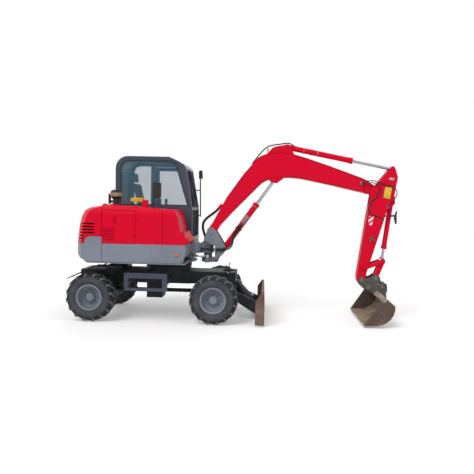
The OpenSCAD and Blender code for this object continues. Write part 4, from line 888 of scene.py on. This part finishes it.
# Operator's seat: three pads on a bellows, blown up as cloth from slightly smaller blocks
padForm = {"edge": 0.016, "voxel": 0.012, "pressure": 4.0, "frames": 20, "seamHalf": 0.016,
           "seamDeep": 0.007, "smooth": 60}
seatPads = {
    "seatCushion": {"corners": [(-628, 1652), (-172, 1652), (-172, 1762), (-628, 1768)],
                    "y": (182, 638), "swell": 0.012, "channels": 3},
    "seatBack": {"corners": [(-628, 1792), (-556, 1792), (-706, 2400), (-776, 2388)],
                 "y": (202, 618), "swell": 0.012, "channels": 3},
    "seatHead": {"corners": [(-752, 2404), (-724, 2404), (-742, 2588), (-788, 2580)],
                 "y": (302, 518), "swell": 0.008, "channels": 0},
}
seatBase = {"low": (-620, 240, 1397), "high": (-280, 580, 1646), "folds": 5, "edge": 0.015}


def blowUp(pad, form, cap):  # cloth under pressure, held to a swell of cap
    start = [v.co.copy() for v in pad.data.vertices]
    cloth = pad.modifiers.new("filling", "CLOTH")
    cloth.settings.use_pressure = True
    cloth.settings.uniform_pressure_force = form["pressure"]
    cloth.settings.effector_weights.gravity = 0
    cloth.point_cache.frame_start = 1
    cloth.point_cache.frame_end = form["frames"]
    for moment in range(1, form["frames"] + 1):
        scene.frame_set(moment)
    bpy.ops.object.modifier_apply(modifier=cloth.name)
    scene.frame_set(1)
    for vertex, first in zip(pad.data.vertices, start):
        move = vertex.co - first
        if move.length > cap:
            vertex.co = first + move.normalized() * cap


def makePad(name, setup, form):
    y0, y1 = setup["y"]
    block = [at(x, y0, z) for x, z in setup["corners"]]
    pad = plate(name, block, (0, (y1 - y0) / 1000, 0), form["edge"])
    applied(pad, "REMESH", "evenSkin", mode="VOXEL", voxel_size=form["voxel"])
    blowUp(pad, form, setup["swell"])
    low, high = (pick(v.co.y for v in pad.data.vertices) for pick in (min, max))
    for k in range(setup["channels"]):  # sewn channels pull the cover in
        seam = low + (high - low) * (k + 1) / (setup["channels"] + 1)
        for vertex in pad.data.vertices:
            pull = max(0, 1 - abs(vertex.co.y - seam) / form["seamHalf"])
            vertex.co -= vertex.normal * form["seamDeep"] * pull * pull
    applied(pad, "SUBSURF", "roundSkin", levels=1, render_levels=1)
    smoothSkin(pad, form["smooth"])
    fitted(pad, "upper", "seatCloth", ("seat",))


def makeSeatBase(setup):  # a bellows round the spring
    (x0, y0, z0), (x1, y1, z1) = setup["low"], setup["high"]
    folds = []
    step = (z1 - z0) / setup["folds"]
    for k in range(setup["folds"]):
        ring = [at(x, y, z0 + step * k) for x, y in ((x0, y0), (x1, y0), (x1, y1), (x0, y1))]
        folds.append(plate("foldModel", ring, (0, 0, step / 1000), setup["edge"]))
    fitted(joined("seatBase", folds), "upper", "blackPlastic", ("seat",))


for padName, padSetup in seatPads.items():
    makePad(padName, padSetup, padForm)
makeSeatBase(seatBase)
print("seat padded")

# Steering wheel on its column, grips on the two levers
wheelForm = {"centre": (19, 410, 1887), "lean": 20, "ring": 0.175, "grip": 0.013, "gripSides": 12,
             "hub": 0.045, "spokes": 3, "spokeFrom": 0.03, "spokeHalf": 0.012, "spokeRoot": 1.6,
             "spokeThick": 0.008, "edge": 0.002}
gripForm = {"places": [(-230, 95, 1990), (-230, 725, 1990)],
            "profile": [(0, 0), (0.024, 0), (0.022, 0.02), (0.027, 0.05), (0.025, 0.085),
                        (0.030, 0.105), (0.026, 0.125), (0, 0.13)]}


def makeSteeringWheel(form):
    centre = at(*form["centre"])
    lean = math.radians(form["lean"])
    axis = Vector((-math.sin(lean), 0, math.cos(lean)))
    ring, grip, hub = form["ring"], form["grip"], form["hub"]
    angles = [2 * math.pi * k / form["gripSides"] for k in range(form["gripSides"])]
    rimProfile = [(ring + grip * math.cos(a), grip * math.sin(a)) for a in angles]
    hubProfile = [(0, -0.02), (hub, -0.02), (hub, 0.012), (hub - 0.012, 0.022), (0, 0.024)]
    parts = [turned("rimModel", rimProfile, centre, axis, 48),
             turned("hubModel", hubProfile, centre, axis, 24)]
    for k in range(form["spokes"]):
        out = Matrix.Rotation(2 * math.pi * k / form["spokes"], 4, axis) @ Vector((0, 1, 0))
        side = axis.cross(out) * form["spokeHalf"]
        root = side * form["spokeRoot"]
        inner, outer = centre + out * form["spokeFrom"], centre + out * ring
        spoke = [inner - root, outer - side, outer + side, inner + root]
        parts.append(plate("spokeModel", spoke, axis * form["spokeThick"], form["edge"]))
    fitted(joined("steeringWheel", parts), "upper", "blackPlastic")


makeSteeringWheel(wheelForm)
grips = [turned("gripModel", gripForm["profile"], at(*p), (0, 0, 1), 20) for p in gripForm["places"]]
fitted(joined("leverGrips", grips), "upper", "blackPlastic")

# Pin heads with their keeper plates on both sides: centre (x, z), the side's y, radius
pinForm = {"sink": 0.002, "rim": 0.006, "high": 0.010, "bevel": 0.004, "boss": 0.014, "steps": 32,
           "keeperHalf": 0.4, "keeperLong": 1.9, "keeperThick": 0.008, "edge": 0.002}
pinHeads = {
    "boomFootPin": {"at": (752, 1520), "y": 153, "radius": 0.046, "body": "post",
                    "finish": "slatePaint"},
    "boomTipPin": {"at": (3665, 2319), "y": 100, "radius": 0.044, "body": "arm",
                   "finish": "redPaint"},
    "boomCylinderPin": {"at": (970, 1215), "y": 153, "radius": 0.034, "body": "post",
                        "finish": "slatePaint"},
    "rockerPin": {"at": (3500, 943), "y": 128, "radius": 0.034, "body": "rocker",
                  "finish": "redPaint"},
    "elbowPin": {"at": (3825, 1067), "y": 128, "radius": 0.034, "body": "bucket_link",
                 "finish": "redPaint"},
    "armTipPin": {"at": (3461, 719), "y": 134, "radius": 0.034, "body": "bucket",
                  "finish": "rustyPin"},
    "linkPin": {"at": (3705, 757), "y": 134, "radius": 0.036, "body": "bucket",
                "finish": "rustyPin"},
    "bucketPinA": {"at": (3575, 594), "y": 174, "radius": 0.030, "body": "bucket",
                   "finish": "rustyPin"},
    "bucketPinB": {"at": (3815, 618), "y": 174, "radius": 0.030, "body": "bucket",
                   "finish": "rustyPin"},
}


def makePinHead(name, setup, form):
    r, (x, z) = setup["radius"], setup["at"]
    high, boss = form["high"], form["boss"]
    profile = [(0, -form["sink"]), (r, -form["sink"]), (r, form["rim"]), (r - form["bevel"], high),
               (r * 0.55, high), (r * 0.5, boss), (0, boss)]
    half, long = r * form["keeperHalf"], r * form["keeperLong"]
    heads = []
    for side in (-1, 1):
        centre = at(x, side * setup["y"], z)
        heads.append(turned("headModel", profile, centre, (0, side, 0), form["steps"]))
        keeper = [centre + Vector((dx, 0, dz))
                  for dx, dz in ((-half, r), (half, r), (half, long), (-half, long))]
        lift = (0, side * form["keeperThick"], 0)
        heads.append(plate("keeperModel", keeper, lift, form["edge"]))
    fitted(joined(name, heads), setup["body"], setup["finish"])


for pinName, pinSetup in pinHeads.items():
    makePinHead(pinName, pinSetup, pinForm)

# Weld beads along the edges of the boom's and arm's side plates, (x, z) points clockwise
weldBeads = {
    "boomTopWeld": {"y": 107, "inset": 14, "thick": 0.010, "body": "boom", "line": [
        (1021, 2160), (1318, 2579), (1567, 2872), (1680, 2930), (1835, 2967), (1980, 2984),
        (2104, 2970), (2422, 2880), (2835, 2745), (3402, 2545)]},
    "boomLowWeld": {"y": 107, "inset": 14, "thick": 0.010, "body": "boom", "line": [
        (3390, 2295), (2844, 2414), (2321, 2516), (2130, 2528), (1910, 2518), (1765, 2490),
        (1641, 2425), (1139, 1906)]},
    "armFrontWeld": {"y": 100, "inset": 12, "thick": 0.007, "body": "arm", "line": [
        (3840, 1862), (3740, 1518), (3652, 1216)]},
    "armBackWeld": {"y": 100, "inset": 12, "thick": 0.007, "body": "arm", "line": [
        (3430, 1195), (3480, 1560), (3528, 1912)]},
}


def makeWeld(name, setup):
    flat = [Vector(p) for p in setup["line"]]
    shifted = []
    for before, point, after in zip([flat[0], *flat], flat, [*flat[1:], flat[-1]]):
        way = (after - before).normalized()
        shifted.append(point + Vector((way.y, -way.x)) * setup["inset"])
    beads = []
    for side in (-1, 1):
        line = smoothRoute([at(p.x, side * setup["y"], p.y) for p in shifted], 8)
        beads.append(tubeAlong("beadModel", line, setup["thick"]))
    fitted(joined(name, beads), setup["body"], "weldRed")


for weldName, weldSetup in weldBeads.items():
    makeWeld(weldName, weldSetup)

# Two clamp bands round the arm cylinder's tube, each with an ear below
clampBands = {"foot": (2086, 3073), "head": (3942, 2709), "along": (0.294, 0.546), "inner": 0.0485,
              "outer": 0.0518, "wide": 0.016, "bevel": 0.001, "earHalf": 0.014, "earDeep": 0.010,
              "earSink": 0.002, "edge": 0.002, "steps": 40}


def makeClampBands(setup):
    foot, head = (at(x, 0, z) for x, z in (setup["foot"], setup["head"]))
    way = (head - foot).normalized()
    inner, outer, half = setup["inner"], setup["outer"], setup["earHalf"]
    first, last = setup["bevel"], setup["wide"] - setup["bevel"]
    profile = [(inner, 0), (outer, first), (outer, last), (inner, setup["wide"])]
    under = setup["earSink"] - outer
    bands = []
    for along in setup["along"]:
        place = foot + way * along
        bands.append(turned("bandModel", profile, place, way, setup["steps"]))
        ear = [place + Vector((0, dy, under)) + way * a
               for dy, a in ((-half, first), (half, first), (half, last), (-half, last))]
        bands.append(plate("earModel", ear, (0, 0, -setup["earDeep"]), setup["edge"]))
    fitted(joined("armClampBands", bands), "arm_barrel", "tanBand")


makeClampBands(clampBands)

# Shut-off tap in the arm's spare line
tapForm = {"foot": (3585, 1408), "head": (3640, 1520), "y": -114, "pipe": 0.013, "body": 0.021,
           "handleHalf": 0.052, "handleTip": 0.060, "handleWide": 0.008, "handleOut": 0.020,
           "handleThick": 0.006, "edge": 0.002,
           "spindle": [(0, 0), (0.008, 0), (0.008, 0.028), (0, 0.030)]}


def makeTap(form):
    foot, head = (at(x, form["y"], z) for x, z in (form["foot"], form["head"]))
    along = (head - foot).normalized()
    long = (head - foot).length
    pipe, body = form["pipe"], form["body"]
    profile = [(0, 0), (pipe, 0), (pipe, long * 0.3), (body, long * 0.34), (body, long * 0.66),
               (pipe, long * 0.7), (pipe, long), (0, long)]
    line = turned("tapModel", profile, foot, along, 20)
    middle = (foot + head) / 2
    across = along.cross(Vector((0, 1, 0)))
    half, tip, wide = form["handleHalf"], form["handleTip"], form["handleWide"]
    rim = ((-half, -wide), (half, -wide), (tip, 0), (half, wide), (-half, wide), (-tip, 0))
    handle = [middle + across * a + along * b + Vector((0, -form["handleOut"], 0)) for a, b in rim]
    lever = plate("leverModel", handle, (0, -form["handleThick"], 0), form["edge"])
    spindle = turned("spindleModel", form["spindle"], middle, (0, -1, 0), 12)
    fitted(joined("armTap", [line, lever, spindle]), "arm", "oldBrass")


makeTap(tapForm)
print("small pieces made")

# Pale floor, soft light from above the camera's left shoulder
studio = {"floorSize": 80.0, "floorColour": (0.82, 0.82, 0.82), "speck": 0.98, "lift": 0.25,
          "sky": 0.50, "white": (1, 1, 1, 1)}


def watchedRays(w):  # 1 for what the camera sees, straight, mirrored or through glass
    rays = [w.add("ShaderNodeLightPath", out="Is " + kind + " Ray")
            for kind in ("Camera", "Glossy", "Transmission")]
    return w.sum("MINIMUM", rays[0] + rays[1] + rays[2], 1.0)


def makeFloor(setup):
    bpy.ops.mesh.primitive_plane_add(size=setup["floorSize"], location=(0, 0, 0))
    floor = bpy.context.object
    floor.name = "studioFloor"
    material, w, shader = newFinish("floorPaint")
    tone = setup["floorColour"]
    dull = tuple(c * setup["speck"] for c in tone)
    feed(shader, colour=blendColour(w, noise(w, 3.0, 3.0), tone, dull), rough=0.9, gloss=0.0)
    glow = w.add("ShaderNodeEmission", {}, {"Color": setup["white"],
                                            "Strength": watchedRays(w) * setup["lift"]})
    toOutput(w, w.add("ShaderNodeAddShader", {}, {0: Wire(w.tree, shader.outputs[0]), 1: glow}))
    wear(floor, material)


def makeSky(setup):
    world = bpy.data.worlds.new("studioSky")
    scene.world = world
    world.use_nodes = True
    tree = world.node_tree
    tree.nodes.clear()
    w = Wire(tree)
    strength = watchedRays(w) * (1 - setup["sky"]) + setup["sky"]
    sky = w.add("ShaderNodeBackground", {}, {"Color": setup["white"], "Strength": strength})
    w.add("ShaderNodeOutputWorld", {}, {0: sky})


lampFar = 12
lamps = {
    "keyLight": {"from": (-0.42, -0.62, 0.78), "softness": 38, "power": 1.7},
    "fillLight": {"from": (0.80, -0.50, 0.45), "softness": 60, "power": 0.45},
    "backLight": {"from": (0.10, 0.85, 0.60), "softness": 60, "power": 0.5},
}


def makeLamp(name, setup):
    bpy.ops.object.light_add(type="SUN", location=Vector(setup["from"]) * lampFar)
    lamp = bpy.context.object
    lamp.name = name
    lamp.data.angle = math.radians(setup["softness"])
    lamp.data.energy = setup["power"]
    lamp.rotation_euler = (-Vector(setup["from"])).to_track_quat("-Z", "Y").to_euler()


makeFloor(studio)
makeSky(studio)
for lampName, lampSetup in lamps.items():
    makeLamp(lampName, lampSetup)
print("studio made")
